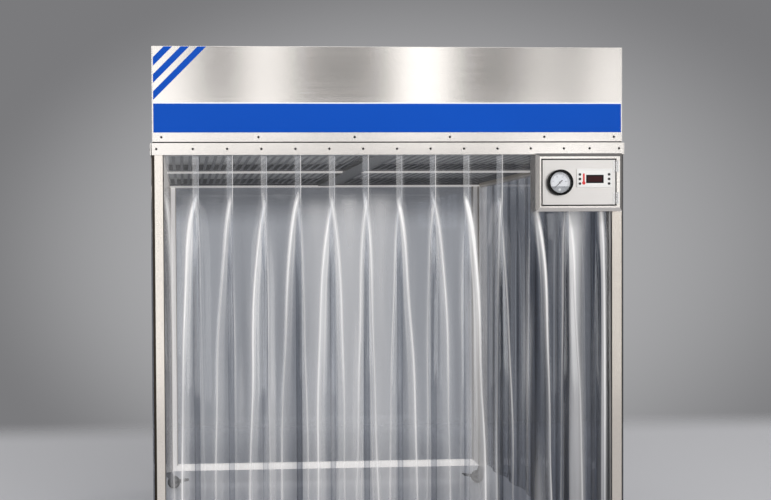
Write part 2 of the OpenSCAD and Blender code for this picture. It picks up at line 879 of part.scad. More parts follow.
module door_hinge_leaves() {
    color("silver") for (z = hinge_zs) difference() {
        union() {
            knuckle(z + knuckle_h + knuckle_gap, knuckle_h, knuckle_r);
            block([hinge_x - leaf_w, box_front_y - leaf_t, z + knuckle_h + knuckle_gap],
                [hinge_x, box_front_y, z + 2 * knuckle_h + knuckle_gap]);
            block([hinge_x - leaf_w, box_front_y - leaf_t, z],
                [hinge_x - knuckle_r - knuckle_gap, box_front_y, z + hinge_h]);
        }
        knuckle(z, hinge_h, hinge_pin_r + run_fit);
    }
}

// Pressure gauge

dial_y = gauge_front_y + dial_recess;
lens_y = gauge_front_y + lens_inset;

module gauge_case() {
    color(dark) difference() {
        union() {
            rod_y(bezel_r, bezel_h, gauge_cx, gauge_front_y, gauge_cz);
            rod_y(gauge_body_r, bezel_h + gauge_body_d, gauge_cx, gauge_front_y, gauge_cz);
        }
        rod_y(window_r, dial_recess + dial_t + 1, gauge_cx, gauge_front_y - 1, gauge_cz);
        rod_y(window_r + lens_lap + touch, lens_t, gauge_cx, lens_y, gauge_cz);
    }
}

pivot_r = 1.5;
pointer_y = dial_y - 4;
pointer_t = 1;

module gauge_dial() {
    color("white") {
        rod_y(window_r - touch, dial_t, gauge_cx, dial_y, gauge_cz);
        rod_y(pivot_r, dial_y - pointer_y + 1.5, gauge_cx, pointer_y - 1, gauge_cz);
    }
}

module gauge_pointer() {
    color("black") translate([gauge_cx, pointer_y, gauge_cz]) rotate([0, pointer_angle, 0])
        difference() {
            union() {
                rotate([-90, 0, 0]) cylinder(r = 4, h = pointer_t + 0.5);
                translate([0, pointer_t, 0]) rotate([90, 0, 0]) linear_extrude(pointer_t)
                    polygon([[-1.8, -pointer_tail], [1.8, -pointer_tail], [0.6, pointer_tip],
                        [-0.6, pointer_tip]]);
            }
            translate([0, -1, 0]) rotate([-90, 0, 0])
                cylinder(r = pivot_r + run_fit, h = pointer_t + 3);
        }
}

module gauge_lens() {
    color(clear) {
        rod_y(window_r + lens_lap, lens_t, gauge_cx, lens_y, gauge_cz);
        rod_y(3.5, 1.2, gauge_cx, lens_y - 1.2, gauge_cz - zero_screw_drop);
    }
}

// Controller

display_x = plate_cx + display_shift_x;
display_z = plate_cz + display_shift_z;
display_t = 1.5;

module display_block(gap, y0, y1) {
    block([display_x - display_w / 2 - gap, y0, display_z - display_h / 2 - gap],
        [display_x + display_w / 2 + gap, y1, display_z + display_h / 2 + gap]);
}

module controller() {
    color("white") difference() {
        union() {
            block([plate_cx - plate_w / 2, plate_front_y, plate_cz - plate_h / 2],
                [plate_cx + plate_w / 2, box_front_y, plate_cz + plate_h / 2]);
            block([plate_cx - housing_w / 2, plate_front_y, plate_cz - housing_h / 2],
                [plate_cx + housing_w / 2, box_front_y + housing_d, plate_cz + housing_h / 2]);
        }
        display_block(touch, plate_front_y - 1, plate_front_y + display_t);
        for (side = [-1, 1], row = [-1:1])
            rod_y(button_r + touch, button_hole_d + 1, plate_cx + side * button_x,
                plate_front_y - 1, display_z + row * button_pitch);
    }
}

module controller_display() {
    color("maroon") display_block(0, plate_front_y, plate_front_y + display_t);
}

module button(side, row) {
    depth = button_hole_d - button_travel - touch;
    color("black") rod_y(button_r, button_rise + depth, plate_cx + side * button_x,
        plate_front_y - button_rise, display_z + row * button_pitch);
}

// Casters

module caster_stem(x, y) {
    collar_z = caster_h - collar_h;
    nut_h = 8;
    translate([x, y, 0]) {
        translate([0, 0, crown_z - crown_gap - stem_head_h])
            cylinder(r = stem_head_r, h = stem_head_h);
        translate([0, 0, crown_z - crown_gap - 1])
            cylinder(r = stem_r, h = caster_h + foot_plate_t + nut_h + 10 - crown_z);
        translate([0, 0, collar_z]) cylinder(r = 14, h = collar_h);
        translate([0, 0, caster_h + foot_plate_t]) cylinder(r = 11, h = nut_h, $fn = 6);
    }
}

module caster_stems() {
    color("silver") for (x = [-stem_x, stem_x], y = [stem_front_y, stem_rear_y])
        caster_stem(x, y);
}

// Moves a caster piece to its post: side is -1 on the left and 1 on the right.
// The wheels trail towards the middle of the booth.
module at_caster(side, y) {
    translate([side * stem_x, y, 0]) rotate([0, 0, side > 0 ? 180 : 0]) children();
}

module fork_leg() {
    top = crown_z + crown_h;
    outline = [[-crown_r, top], [22, top], [trail + 11, wheel_r + 5], [trail + 11, wheel_r - 6],
        [trail + 5, wheel_r - 12], [trail - 5, wheel_r - 12], [trail - 11, wheel_r - 6],
        [-crown_r, crown_z]];
    translate([0, fork_half + leg_t, 0]) rotate([90, 0, 0]) linear_extrude(leg_t)
        polygon(outline);
}

module fork(side, y) {
    top = crown_z + crown_h;
    wide = fork_half + leg_t;
    color("silver") at_caster(side, y) {
        difference() {
            union() {
                fork_leg();
                mirror([0, 1, 0]) fork_leg();
                block([-crown_r, -wide, top - 4], [22, wide, top]);
                translate([0, 0, crown_z]) cylinder(r = min(crown_r, wide), h = crown_h);
            }
            translate([0, 0, crown_z - 1]) cylinder(r = stem_r + run_fit, h = crown_h + 2);
        }
        rod_y(axle_r, 2 * axle_end, trail, -axle_end, wheel_r);
        for (y1 = [-axle_end - axle_head_h, axle_end])
            rod_y(axle_r + 3, axle_head_h, trail, y1, wheel_r);
    }
}

module wheel(side, y) {
    half = wheel_w / 2;
    bore = axle_r + run_fit;
    color("dimgray") at_caster(side, y) translate([trail, 0, wheel_r]) rotate([90, 0, 0])
        rotate_extrude($fn = 64) polygon([[bore, -half - 1], [12, -half - 1], [14, -half + 3],
            [27, -half + 3], [28, -half + 1], [wheel_r - 3, -half + 1], [wheel_r, -half + 5],
            [wheel_r, half - 5], [wheel_r - 3, half - 1], [28, half - 1], [27, half - 3],
            [14, half - 3], [12, half + 1], [bore, half + 1]]);
}

module pedal(side, y) {
    near = fork_half + leg_t + pedal_gap;
    tread_l = 26;
    tread_z = wheel_r + 18;
    outline = [[trail - 9, wheel_r - 8], [trail + 6, wheel_r - 9],
        [trail + pedal_reach, tread_z - 6], [trail + pedal_reach, tread_z],
        [trail - 9, wheel_r + 9]];
    color("dimgray") at_caster(side, y) difference() {
        union() {
            for (flip = [0, 1]) mirror([0, flip, 0]) translate([0, near + pedal_t, 0])
                rotate([90, 0, 0]) linear_extrude(pedal_t) polygon(outline);
            block([trail + pedal_reach - tread_l, -near - pedal_t, tread_z - 3],
                [trail + pedal_reach, near + pedal_t, tread_z]);
        }
        rod_y(axle_r + run_fit, 2 * axle_end, trail, -axle_end, wheel_r);
    }
}

post(-1, stem_front_y);  // front_left_post
post(1, stem_front_y);  // front_right_post
post(-1, stem_rear_y);  // rear_left_post
post(1, stem_rear_y);  // rear_right_post
rail_x(front_y);  // front_top_rail
rail_x(rear_y - tube);  // rear_top_rail
side_top_rails();
rear_stile(-1);  // rear_left_stile
rear_stile(1);  // rear_right_stile
rear_bottom_rail();
rear_sheet();
fascia();
fascia_film();
header_flange();
header_gasket();
header_back_panel();
header_side_panel(-1);  // header_left_panel
header_side_panel(1);  // header_right_panel
header_roof();
cover_screws();
curtain_clamps();
front_strips();
side_strips();
centre_beam();
cross_bars();
ceiling_trays();
main_filters();
inlet_filters();
fan_deck();
blower_motors();
impeller(-blower_x);  // left_impeller
impeller(blower_x);  // right_impeller
control_box();
control_box_door();
door_gasket();
box_hinge_leaves();
door_hinge_leaves();
gauge_case();
gauge_dial();
gauge_pointer();
gauge_lens();
controller();
controller_display();
button(-1, 1);  // button_left_top
button(-1, 0);  // button_left_middle
button(-1, -1);  // button_left_bottom
button(1, 1);  // button_right_top
button(1, 0);  // button_right_middle
button(1, -1);  // button_right_bottom
caster_stems();
fork(-1, stem_front_y);  // front_left_fork
fork(1, stem_front_y);  // front_right_fork
fork(-1, stem_rear_y);  // rear_left_fork
fork(1, stem_rear_y);  // rear_right_fork
wheel(-1, stem_front_y);  // front_left_wheel
wheel(1, stem_front_y);  // front_right_wheel
wheel(-1, stem_rear_y);  // rear_left_wheel
wheel(1, stem_rear_y);  // rear_right_wheel
pedal(-1, stem_rear_y);  // rear_left_pedal
pedal(1, stem_rear_y);  // rear_right_pedal
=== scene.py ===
"""Looks of a reverse laminar airflow booth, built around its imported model.

All lengths are metres, +Z is up and the booth's front faces -Y.
"""

import logging
import math
from collections.abc import Callable, Iterable, Sequence
from dataclasses import dataclass, field
from enum import Enum
from typing import Protocol

import bpy
from mathutils import Matrix, Vector


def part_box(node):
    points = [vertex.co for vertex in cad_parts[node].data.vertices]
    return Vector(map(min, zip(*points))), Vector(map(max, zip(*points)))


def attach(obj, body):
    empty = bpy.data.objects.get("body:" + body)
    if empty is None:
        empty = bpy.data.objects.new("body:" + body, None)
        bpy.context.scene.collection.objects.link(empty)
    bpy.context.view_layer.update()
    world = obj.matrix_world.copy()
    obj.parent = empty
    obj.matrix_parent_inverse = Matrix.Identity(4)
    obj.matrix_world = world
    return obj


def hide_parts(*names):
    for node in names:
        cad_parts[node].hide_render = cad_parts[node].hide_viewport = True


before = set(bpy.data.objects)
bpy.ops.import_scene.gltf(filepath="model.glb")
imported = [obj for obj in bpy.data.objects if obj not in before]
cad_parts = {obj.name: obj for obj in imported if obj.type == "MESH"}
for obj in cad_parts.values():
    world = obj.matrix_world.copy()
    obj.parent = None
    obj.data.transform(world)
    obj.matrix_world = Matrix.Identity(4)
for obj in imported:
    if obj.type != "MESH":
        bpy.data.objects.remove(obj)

log = logging.getLogger("booth")
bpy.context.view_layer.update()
CREASE_LIGHT = "crease"
WHITE = (1.0, 1.0, 1.0)
# The share of light that clear plastic reflects where it is seen face on
FACE_ON = 0.04
# How far the box around a piece reaches past it
PAST = 0.01
Triple = tuple[float, float, float]
Colour = Triple
PaintedPatch = tuple[int, float, float, float]
Box = tuple[Vector, Vector]
Span = tuple[float, float]
Socket = bpy.types.NodeSocket
Material = bpy.types.Material


class Axis(Enum):
    """The direction in which a surface was brushed or a pattern runs."""

    X = 0
    Y = 1
    Z = 2


# Numbers


def opaque(colour: object) -> object:
    """Adds the alpha that a colour input needs, and leaves anything else as it is."""
    return (*colour, 1.0) if isinstance(colour, tuple) else colour


def darker(colour: Colour, share: float) -> Colour:
    """Gives a colour with a share of its brightness."""
    return tuple(part * share for part in colour)


def waver(amount: float, phase: float) -> float:
    """Gives a number around 1 that swings by an amount."""
    return 1.0 + amount * math.sin(phase)


def fading(distance: float, length: float) -> float:
    """Gives 1 up to the start of a distance, and then ever less."""
    return math.exp(-max(distance, 0.0) / length)


def hump(distance: float, width: float) -> float:
    """Gives a smooth hump that is 1 in its middle."""
    return math.exp(-(distance / width) ** 2)


def ramp(distance: float, length: float) -> float:
    """Rises from 0 to 1 over a length."""
    return min(1.0, max(0.0, distance / length))


def margins(low: Vector, high: Vector, axis: Axis, start: float, end: float) -> tuple[Box, Box]:
    """Lists the boxes around the two outer parts of a piece.

    Args:
        low: The piece's lowest corner.
        high: The piece's highest corner.
        axis: The axis at whose ends the parts are.
        start: The width of the part at the low end.
        end: The width of the part at the high end.

    Returns:
        The two boxes' lowest and highest corners.
    """
    around = Vector((PAST, PAST, PAST))
    first = (low - around, high + around)
    last = (low - around, high + around)
    first[1][axis.value] = low[axis.value] + start
    last[0][axis.value] = high[axis.value] - end
    return first, last


# Shader expressions


class Signal:
    """A shader socket that takes part in Python expressions."""

    def __init__(self, board: "Board", socket: Socket) -> None:
        """Keeps a socket and the board that its nodes are on.

        Args:
            board: The material that is being built.
            socket: The output socket that this signal stands for.
        """
        self.board = board
        self.socket = socket

    def _math(self, operation: str, *others: "Signal | float") -> "Signal":
        """Adds a Math node of this signal and the others."""
        return self.board.calculate(operation, self, *others)

    def __add__(self, other: "Signal | float") -> "Signal":
        """Adds two values."""
        return self._math("ADD", other)

    def __radd__(self, other: float) -> "Signal":
        """Adds a number and this value."""
        return self.board.calculate("ADD", other, self)

    def __sub__(self, other: "Signal | float") -> "Signal":
        """Subtracts a value from this one."""
        return self._math("SUBTRACT", other)

    def __rsub__(self, other: float) -> "Signal":
        """Subtracts this value from a number."""
        return self.board.calculate("SUBTRACT", other, self)

    def __mul__(self, other: "Signal | float") -> "Signal":
        """Multiplies two values."""
        return self._math("MULTIPLY", other)

    def __rmul__(self, other: float) -> "Signal":
        """Multiplies a number by this value."""
        return self.board.calculate("MULTIPLY", other, self)

    def __truediv__(self, other: "Signal | float") -> "Signal":
        """Divides this value by another."""
        return self._math("DIVIDE", other)

    def __pow__(self, other: float) -> "Signal":
        """Raises this value to a power."""
        return self._math("POWER", other)

    def above(self, limit: float) -> "Signal":
        """Gives 1 where this value is over the limit and 0 elsewhere."""
        return self._math("GREATER_THAN", limit)

    def below(self, limit: float) -> "Signal":
        """Gives 1 where this value is under the limit and 0 elsewhere."""
        return self._math("LESS_THAN", limit)

    def distance(self, centre: float) -> "Signal":
        """Gives how far this value lies from a centre."""
        return (self - centre)._math("ABSOLUTE")

    def fraction(self) -> "Signal":
        """Gives the part behind the decimal point."""
        return self._math("FRACT")

    def angle(self, other: "Signal") -> "Signal":
        """Gives the angle of the point (other, self), in radians."""
        return self._math("ARCTAN2", other)

    def eased(self, low: float, high: float) -> "Signal":
        """Rises smoothly from 0 at the low limit to 1 at the high one.

        Args:
            low: The low limit.
            high: The high limit.

        Returns:
            The eased value.
        """
        inputs = {"Value": self, "From Min": low, "From Max": high}
        node = self.board.node("ShaderNodeMapRange", {"interpolation_type": "SMOOTHSTEP"}, inputs)
        return Signal(self.board, node.outputs[0])


class Board:
    """A material that is put together node by node."""

    def __init__(self, name: str, tree: bpy.types.NodeTree | None = None) -> None:
        """Makes an empty material, or clears the tree that is given.

        Args:
            name: The material's name.
            tree: A world's tree, if the board is not a material.
        """
        self.material = None
        if tree is None:
            self.material = bpy.data.materials.new(name)
            self.material.use_nodes = True
            tree = self.material.node_tree
        self.tree = tree
        self.tree.nodes.clear()

    def node(self, kind: str, settings: dict, inputs: dict) -> bpy.types.Node:
        """Makes a node.

        Args:
            kind: The node's type.
            settings: Attributes of the node, which are set first.
            inputs: Values, signals or sockets for its inputs, by name or number.

        Returns:
            The node.
        """
        made = self.tree.nodes.new(kind)
        for key, value in settings.items():
            setattr(made, key, value)
        for key, value in inputs.items():
            if isinstance(value, Signal):
                value = value.socket
            if isinstance(value, Socket):
                self.tree.links.new(value, made.inputs[key])
            else:
                made.inputs[key].default_value = value
        return made

    def calculate(self, operation: str, *values: Signal | float) -> Signal:
        """Adds a Math node with these values."""
        node = self.node("ShaderNodeMath", {"operation": operation}, dict(enumerate(values)))
        return Signal(self, node.outputs[0])

    def place(self) -> tuple[Signal, ...]:
        """Reads the point on the piece.

        Returns:
            Its X, Y and Z, in metres.
        """
        point = self.node("ShaderNodeTexCoord", {}, {}).outputs["Object"]
        split = self.node("ShaderNodeSeparateXYZ", {}, {0: point})
        return tuple(Signal(self, output) for output in split.outputs)

    def beside(self, centre: Vector) -> tuple[Signal, Signal]:
        """Gives how far the point lies to the right of a centre, and above it."""
        x, _, z = self.place()
        return x - centre.x, z - centre.z

    def within(self, low: Vector, high: Vector) -> Signal:
        """Gives 1 inside a box and 0 outside it."""
        limits = zip(self.place(), low, high)
        return math.prod(part.above(first) * part.below(last) for part, first, last in limits)

    def noise(self, scale: float | Sequence[float], detail: float = 2.0,
              seed: float = 0.0) -> Signal:
        """Makes a noise from 0 to 1.

        Args:
            scale: Bumps per metre, everywhere the same or along X, Y and Z.
            detail: How many finer layers it has.
            seed: A shift that makes one noise differ from another.

        Returns:
            The noise.
        """
        sizes = (scale,) * 3 if isinstance(scale, float) else tuple(scale)
        point = self.node("ShaderNodeTexCoord", {}, {}).outputs["Object"]
        inputs = {"Vector": point, "Scale": sizes, "Location": (seed, seed, seed)}
        mapped = self.node("ShaderNodeMapping", {}, inputs).outputs[0]
        inputs = {"Vector": mapped, "Scale": 1.0, "Detail": detail}
        return Signal(self, self.node("ShaderNodeTexNoise", {}, inputs).outputs[0])

    def mix(self, share: Signal | float, first: object, second: object) -> Socket:
        """Mixes two colours.

        Args:
            share: How much of the second colour there is.
            first: A colour or a colour socket.
            second: A colour or a colour socket.

        Returns:
            The mixed colour.
        """
        inputs = {0: share, 6: opaque(first), 7: opaque(second)}
        return self.node("ShaderNodeMix", {"data_type": "RGBA"}, inputs).outputs[2]

    def blend(self, share: Signal, first: Socket, second: Socket) -> Socket:
        """Mixes two shaders by the share of the second."""
        return self.node("ShaderNodeMixShader", {}, {0: share, 1: first, 2: second}).outputs[0]

    def bump(self, height: Signal, strength: float, distance: float) -> Socket:
        """Makes a bump.

        Args:
            height: The height from 0 to 1.
            strength: The share of the bump that shows.
            distance: The height of the bump, in metres.

        Returns:
            The bent normal.
        """
        inputs = {"Strength": strength, "Distance": distance, "Height": height}
        return self.node("ShaderNodeBump", {}, inputs).outputs[0]

    def facing(self, **inputs: Socket) -> Signal:
        """Gives 0 where the surface is seen face on, and 1 edge on, from both of its sides."""
        layers = self.node("ShaderNodeLayerWeight", {}, {"Blend": 0.5, **inputs})
        return Signal(self, layers.outputs["Facing"])

    def clear(self, colour: Colour = WHITE) -> Socket:
        """Makes a shader that tints what lies behind it."""
        return self.node("ShaderNodeBsdfTransparent", {}, {0: opaque(colour)}).outputs[0]

    def glazed(self, body: Socket, normal: Socket, roughness: float, gloss: float = 1.0) -> Material:
        """Puts a clear gloss over a body, and both on the surface.

        Args:
            body: The shader below the gloss.
            normal: The bent normal of the gloss.
            roughness: The roughness of the gloss.
            gloss: How strong the gloss is, where 1 is that of clear plastic.

        Returns:
            The material.
        """
        shine = (self.facing(Normal=normal) ** 5 * (1.0 - FACE_ON) + FACE_ON) * gloss
        inputs = {"Color": opaque(WHITE), "Roughness": roughness, "Normal": normal}
        mirror = self.node("ShaderNodeBsdfAnisotropic", {}, inputs).outputs[0]
        return self.finish(self.blend(shine, body, mirror))

    def principled(self, **inputs: object) -> Socket:
        """Makes a Principled shader.

        Args:
            **inputs: Its inputs, with an underscore in place of each space.

        Returns:
            The shader.
        """
        named = {key.replace("_", " "): opaque(value) for key, value in inputs.items()}
        return self.node("ShaderNodeBsdfPrincipled", {}, named).outputs[0]

    def paint(self, **inputs: object) -> Material:
        """Puts a Principled shader with these inputs on the surface."""
        return self.finish(self.principled(**inputs))

    def finish(self, shader: Socket) -> Material | None:
        """Puts a shader on the surface.

        Args:
            shader: The shader.

        Returns:
            The material, or None on a world's board.
        """
        kind = "ShaderNodeOutputMaterial" if self.material else "ShaderNodeOutputWorld"
        self.node(kind, {}, {"Surface": shader})
        return self.material


# Finishes


class Finish(Protocol):
    """Anything that makes a material."""

    def material(self) -> Material:
        """Makes the material.

        Returns:
            The material.
        """


@dataclass(frozen=True)
class BrushedSteel:
    """Stainless steel with fine lines along one axis, painted shade in the boxes that are given, and
    an even painted glow.
    """

    name: str
    tint: Colour = (0.83, 0.79, 0.745)
    grain: Axis = Axis.X
    roughness: float = 0.23
    cloud: float = 0.05
    along: float = 2.0
    across: float = 900.0
    metallic: float = 1.0
    # Painted light: the steel glows in its own colour.
    glow: float = 0.0
    # Boxes where painted shade darkens the steel, and the colour of that shade.
    shades: tuple[Box, ...] = ()
    dark: Colour = (0.035, 0.028, 0.022)

    def material(self) -> Material:
        """Makes the material.

        Returns:
            The material.
        """
        board = Board(self.name)
        scale = [self.across] * 3
        scale[self.grain.value] = self.along
        lines = board.noise(scale, 3.0)
        clouds = board.noise(2.2, 2.0, 3.0)
        colour = board.mix(lines * 0.6 + clouds * 0.4, darker(self.tint, 0.86), self.tint)
        # Painted shade in each box.
        for low, high in self.shades:
            colour = board.mix(board.within(low, high), colour, self.dark)
        rough = self.roughness + (lines - 0.5) * 0.10 + (clouds - 0.5) * self.cloud
        # The emission is painted light.
        return board.paint(
            Base_Color=colour, Metallic=self.metallic, Roughness=rough,
            Normal=board.bump(lines, 0.10, 0.0004), Emission_Color=colour,
            Emission_Strength=self.glow)


@dataclass(frozen=True)
class LippedSteel:
    """Steel of the bars under the ceiling: dull, with a painted highlight along its lower edge."""

    name: str
    highlight_top: float
    # Painted highlight: how much the lower edge glows, and the colours of the face and of the
    # highlight.
    glow: float = 0.35
    dull: Colour = (0.15, 0.15, 0.16)
    bright: Colour = (0.88, 0.83, 0.78)

    def material(self) -> Material:
        """Makes the material.

        Returns:
            The material.
        """
        board = Board(self.name)
        # Painted highlight: the lower edge is bright, less metallic and glows.
        lip = board.place()[2].below(self.highlight_top)
        grain = board.noise((2.0, 700.0, 700.0), 3.0)
        return board.paint(
            Base_Color=board.mix(lip, self.dull, self.bright), Metallic=0.85 - lip * 0.55,
            Roughness=0.38 + (grain - 0.5) * 0.1, Normal=board.bump(grain, 0.15, 0.0004),
            Emission_Color=board.mix(lip, (0.0, 0.0, 0.0), self.bright),
            Emission_Strength=self.glow)


@dataclass(frozen=True)
class ClearFilm:
    """Clear flexible film: glossy, a little hazy, and darker when seen at a low angle."""

    name: str
    tint: Colour = (0.90, 0.915, 0.94)
    deep: Colour = (0.10, 0.125, 0.18)
    haze_colour: Colour = (0.88, 0.865, 0.855)
    haze: float = 0.025
    gloss: float = 1.15
    ripple: float = 0.05
    roughness: float = 0.08

    def marks(self, board: Board, facing: Signal) -> tuple[Signal | float, Signal | float]:
        """Gives the haze and the darkness that come on top; plain film has none."""
        return 0.0, 0.0

    def material(self) -> Material:
        """Makes the material.

        Returns:
            The material.
        """
        board = Board(self.name)
        waves = board.noise((9.0, 9.0, 1.2), 1.5)
        fine = board.noise((40.0, 40.0, 4.0), 1.0, 7.0)
        normal = board.bump(waves * 0.8 + fine * 0.2, self.ripple, 0.01)
        facing = board.facing()
        haze, depth = self.marks(board, facing)
        haze = board.noise((7.0, 7.0, 0.9), 2.0, 11.0).eased(0.35, 0.75) * self.haze + haze
        depth = facing ** 1.3 + depth
        body = board.blend(depth, board.clear(self.tint), board.clear(self.deep))
        milk = board.principled(Base_Color=self.haze_colour, Roughness=0.5)
        return board.glazed(board.blend(haze, body, milk), normal, self.roughness, self.gloss)


@dataclass(frozen=True)
class HungFilm(ClearFilm):
    """Film that hangs in strips, with painted highlights and painted shade along its creases,
    painted reflection bands and darker streaks low down, painted shade on its right end and a
    painted shadow under the clamp.
    """

    streaks: float = 1.0
    # Strength of the painted shade on the right end, and the spans over which it sets in.
    painted_shade: float = 0.0
    dim_right: Span = (0.34, 0.62)
    dim_top: Span = (1.55, 1.85)
    dim_foot: Span = (0.45, 1.0)
    streaks_top: Span = (1.15, 1.72)
    # Height of the clamp's lower edge, and the span of the painted shadow under it.
    clamp_z: float = 10.0
    clamp_shade: Span = (0.016, 0.006)

    def marks(self, board: Board, facing: Signal) -> tuple[Signal, Signal]:
        """Gives the haze and the darkness that come on top, most of them painted highlights and
        painted shade.

        Args:
            board: The board that the film is made on.
            facing: How far the film turns away.

        Returns:
            The haze and the darkness.
        """
        x, _, z = board.place()
        # The crease attribute holds whitened film and painted highlight above zero, and painted
        # shade below zero.
        crease = board.node("ShaderNodeAttribute", {"attribute_name": CREASE_LIGHT}, {})
        crease_light = Signal(board, crease.outputs["Fac"])
        lower = 1.0 - z.eased(*self.streaks_top)
        # Painted reflection bands low down, where the film is seen face on.
        painted_reflection_bands = board.noise((13.0, 6.0, 0.7), 1.5, 4.0).eased(0.50, 0.72)
        # Darker streaks low down.
        darker_streaks = board.noise((9.0, 9.0, 0.6), 1.5, 19.0).eased(0.50, 0.70)
        straight = (1.0 - facing) ** 2
        # Painted shade on the right end of the run, stronger near the foot.
        right_end_shade = x.eased(*self.dim_right) * (1.0 - z.eased(*self.dim_top))
        right_end_shade = right_end_shade * (1.0 + (1.0 - z.eased(*self.dim_foot)) * 0.9)
        under, over = self.clamp_shade
        haze = crease_light * crease_light.above(0.0) + painted_reflection_bands * lower * straight * (0.26 * self.streaks)
        dark = darker_streaks * (lower * 0.8 + 0.2) * (0.22 * self.streaks) + right_end_shade * self.painted_shade
        # Painted shadow just under the clamp.
        dark = dark + z.eased(self.clamp_z - under, self.clamp_z + over) * 0.6
        return haze, dark - crease_light * crease_light.below(0.0)


@dataclass(frozen=True)
class RearSheet:
    """The clear back wall, with painted shade under the header and above the rail."""

    name: str
    tint: Colour = (0.93, 0.94, 0.955)
    painted_shade: Colour = (0.60, 0.61, 0.63)
    shade_top: Span = (1.66, 1.90)
    shade_foot: Span = (0.16, 0.42)
    roughness: float = 0.04

    def material(self) -> Material:
        """Makes the material.

        Returns:
            The material.
        """
        board = Board(self.name)
        z = board.place()[2]
        # Painted shade near the top, under the header, and near the foot, above the rail.
        shade = z.eased(*self.shade_top) + (1.0 - z.eased(*self.shade_foot)) * 0.4
        body = board.blend(shade, board.clear(self.tint), board.clear(self.painted_shade))
        normal = board.bump(board.noise((2.0, 2.0, 1.0), 1.0), 0.02, 0.01)
        return board.glazed(body, normal, self.roughness)


@dataclass(frozen=True)
class Coating:
    """Paint, plastic, rubber or paper with a fine grain."""

    name: str
    colour: Colour
    roughness: float = 0.4
    metallic: float = 0.0
    coat: float = 0.0
    specular: float = 0.5
    mottle: float = 0.12
    grain: float = 700.0
    depth: float = 0.1

    def material(self) -> Material:
        """Makes the material.

        Returns:
            The material.
        """
        board = Board(self.name)
        fine = board.noise(self.grain)
        broad = board.noise(9.0, 2.0, 5.0)
        dark = darker(self.colour, 1.0 - self.mottle)
        return board.paint(
            Base_Color=board.mix(broad * 0.6 + fine * 0.4, dark, self.colour),
            Metallic=self.metallic, Roughness=self.roughness + (broad - 0.5) * 0.12,
            Coat_Weight=self.coat, Specular_IOR_Level=self.specular,
            Normal=board.bump(fine, self.depth, 0.0004))


@dataclass(frozen=True)
class CoverFilm:
    """The coloured film on the fascia: blue, with a pale line above the band."""

    name: str
    blue: Colour = (0.0, 0.070, 0.45)
    pale: Colour = (0.86, 0.88, 0.9)
    line: Span = (2.156, 2.1612)

    def material(self) -> Material:
        """Makes the material.

        Returns:
            The material.
        """
        board = Board(self.name)
        z = board.place()[2]
        low, high = self.line
        wide = board.noise((1.6, 1.6, 3.0), 1.0, 2.0)
        blue = board.mix(wide, darker(self.blue, 0.85), self.blue)
        return board.paint(
            Base_Color=board.mix(z.above(low) * z.below(high), blue, self.pale),
            Roughness=0.34 + (wide - 0.5) * 0.1, Specular_IOR_Level=0.10,
            Normal=board.bump(board.noise(120.0), 0.05, 0.0005))


@dataclass(frozen=True)
class PleatedMedia:
    """White filter paper in fine pleats, painted grey as shade, darker in the valleys, with a
    painted glow.
    """

    name: str
    pitch: float = 0.006
    # Painted shade: the white paper is grey, darker in the pleats' valleys.
    valley: Colour = (0.50, 0.50, 0.50)
    ridge: Colour = (0.54, 0.54, 0.53)
    # Painted light: the paper glows in its own colour.
    glow: float = 0.10

    def material(self) -> Material:
        """Makes the material.

        Returns:
            The material.
        """
        board = Board(self.name)
        fold = (board.place()[0] / self.pitch).fraction().distance(0.5) * 2.0
        shade = board.mix(fold, self.valley, self.ridge)
        return board.paint(
            Base_Color=shade, Roughness=0.85, Emission_Color=shade,
            Emission_Strength=self.glow, Normal=board.bump(fold, 0.12, 0.003))


@dataclass(frozen=True)
class DialFace:
    """The white face of the pressure gauge with its scale and a grey foot."""

    name: str
    centre: Vector
    sweep: float = math.radians(270.0)
    steps: int = 50
    ticks: Triple = (0.0325, 0.0355, 0.0385)
    rim: float = 0.0387
    foot_drop: float = 0.0165
    boss: float = 0.006
    boss_drop: float = 0.031
    ink: Colour = (0.03, 0.03, 0.03)

    def material(self) -> Material:
        """Makes the material.

        Returns:
            The material.
        """
        board = Board(self.name)
        across, up = board.beside(self.centre)
        radius = (across * across + up * up) ** 0.5
        turn = across.angle(up)
        inside = turn.distance(0.0).below(self.sweep / 2 + 0.01)
        step = (turn + self.sweep / 2) / self.sweep * self.steps
        tick = (step + 0.5).fraction().distance(0.5).below(0.10)
        long_tick = (step / 5 + 0.5).fraction().distance(0.5).below(0.035)
        inner, middle, outer = self.ticks
        marks = (tick * radius.above(middle) + long_tick * radius.above(inner)) * radius.below(outer)
        ink = (marks + radius.distance(self.rim).below(0.0003)) * inside
        foot = up.below(-self.foot_drop) * radius.above(0.012)
        paper = board.noise(30.0)
        white = board.mix(paper, (0.93, 0.94, 0.96), (0.97, 0.97, 0.98))
        greyed = board.mix(foot, white, (0.42, 0.43, 0.45))
        boss_up = up + self.boss_drop
        boss = (across * across + boss_up * boss_up).below(self.boss ** 2)
        inked = board.mix(ink.eased(0.2, 0.8) * 0.55, greyed, self.ink)
        return board.paint(
            Base_Color=board.mix(boss, inked, (0.80, 0.80, 0.80)),
            Roughness=0.5 + (paper - 0.5) * 0.1, Normal=board.bump(paper, 0.05, 0.0003))


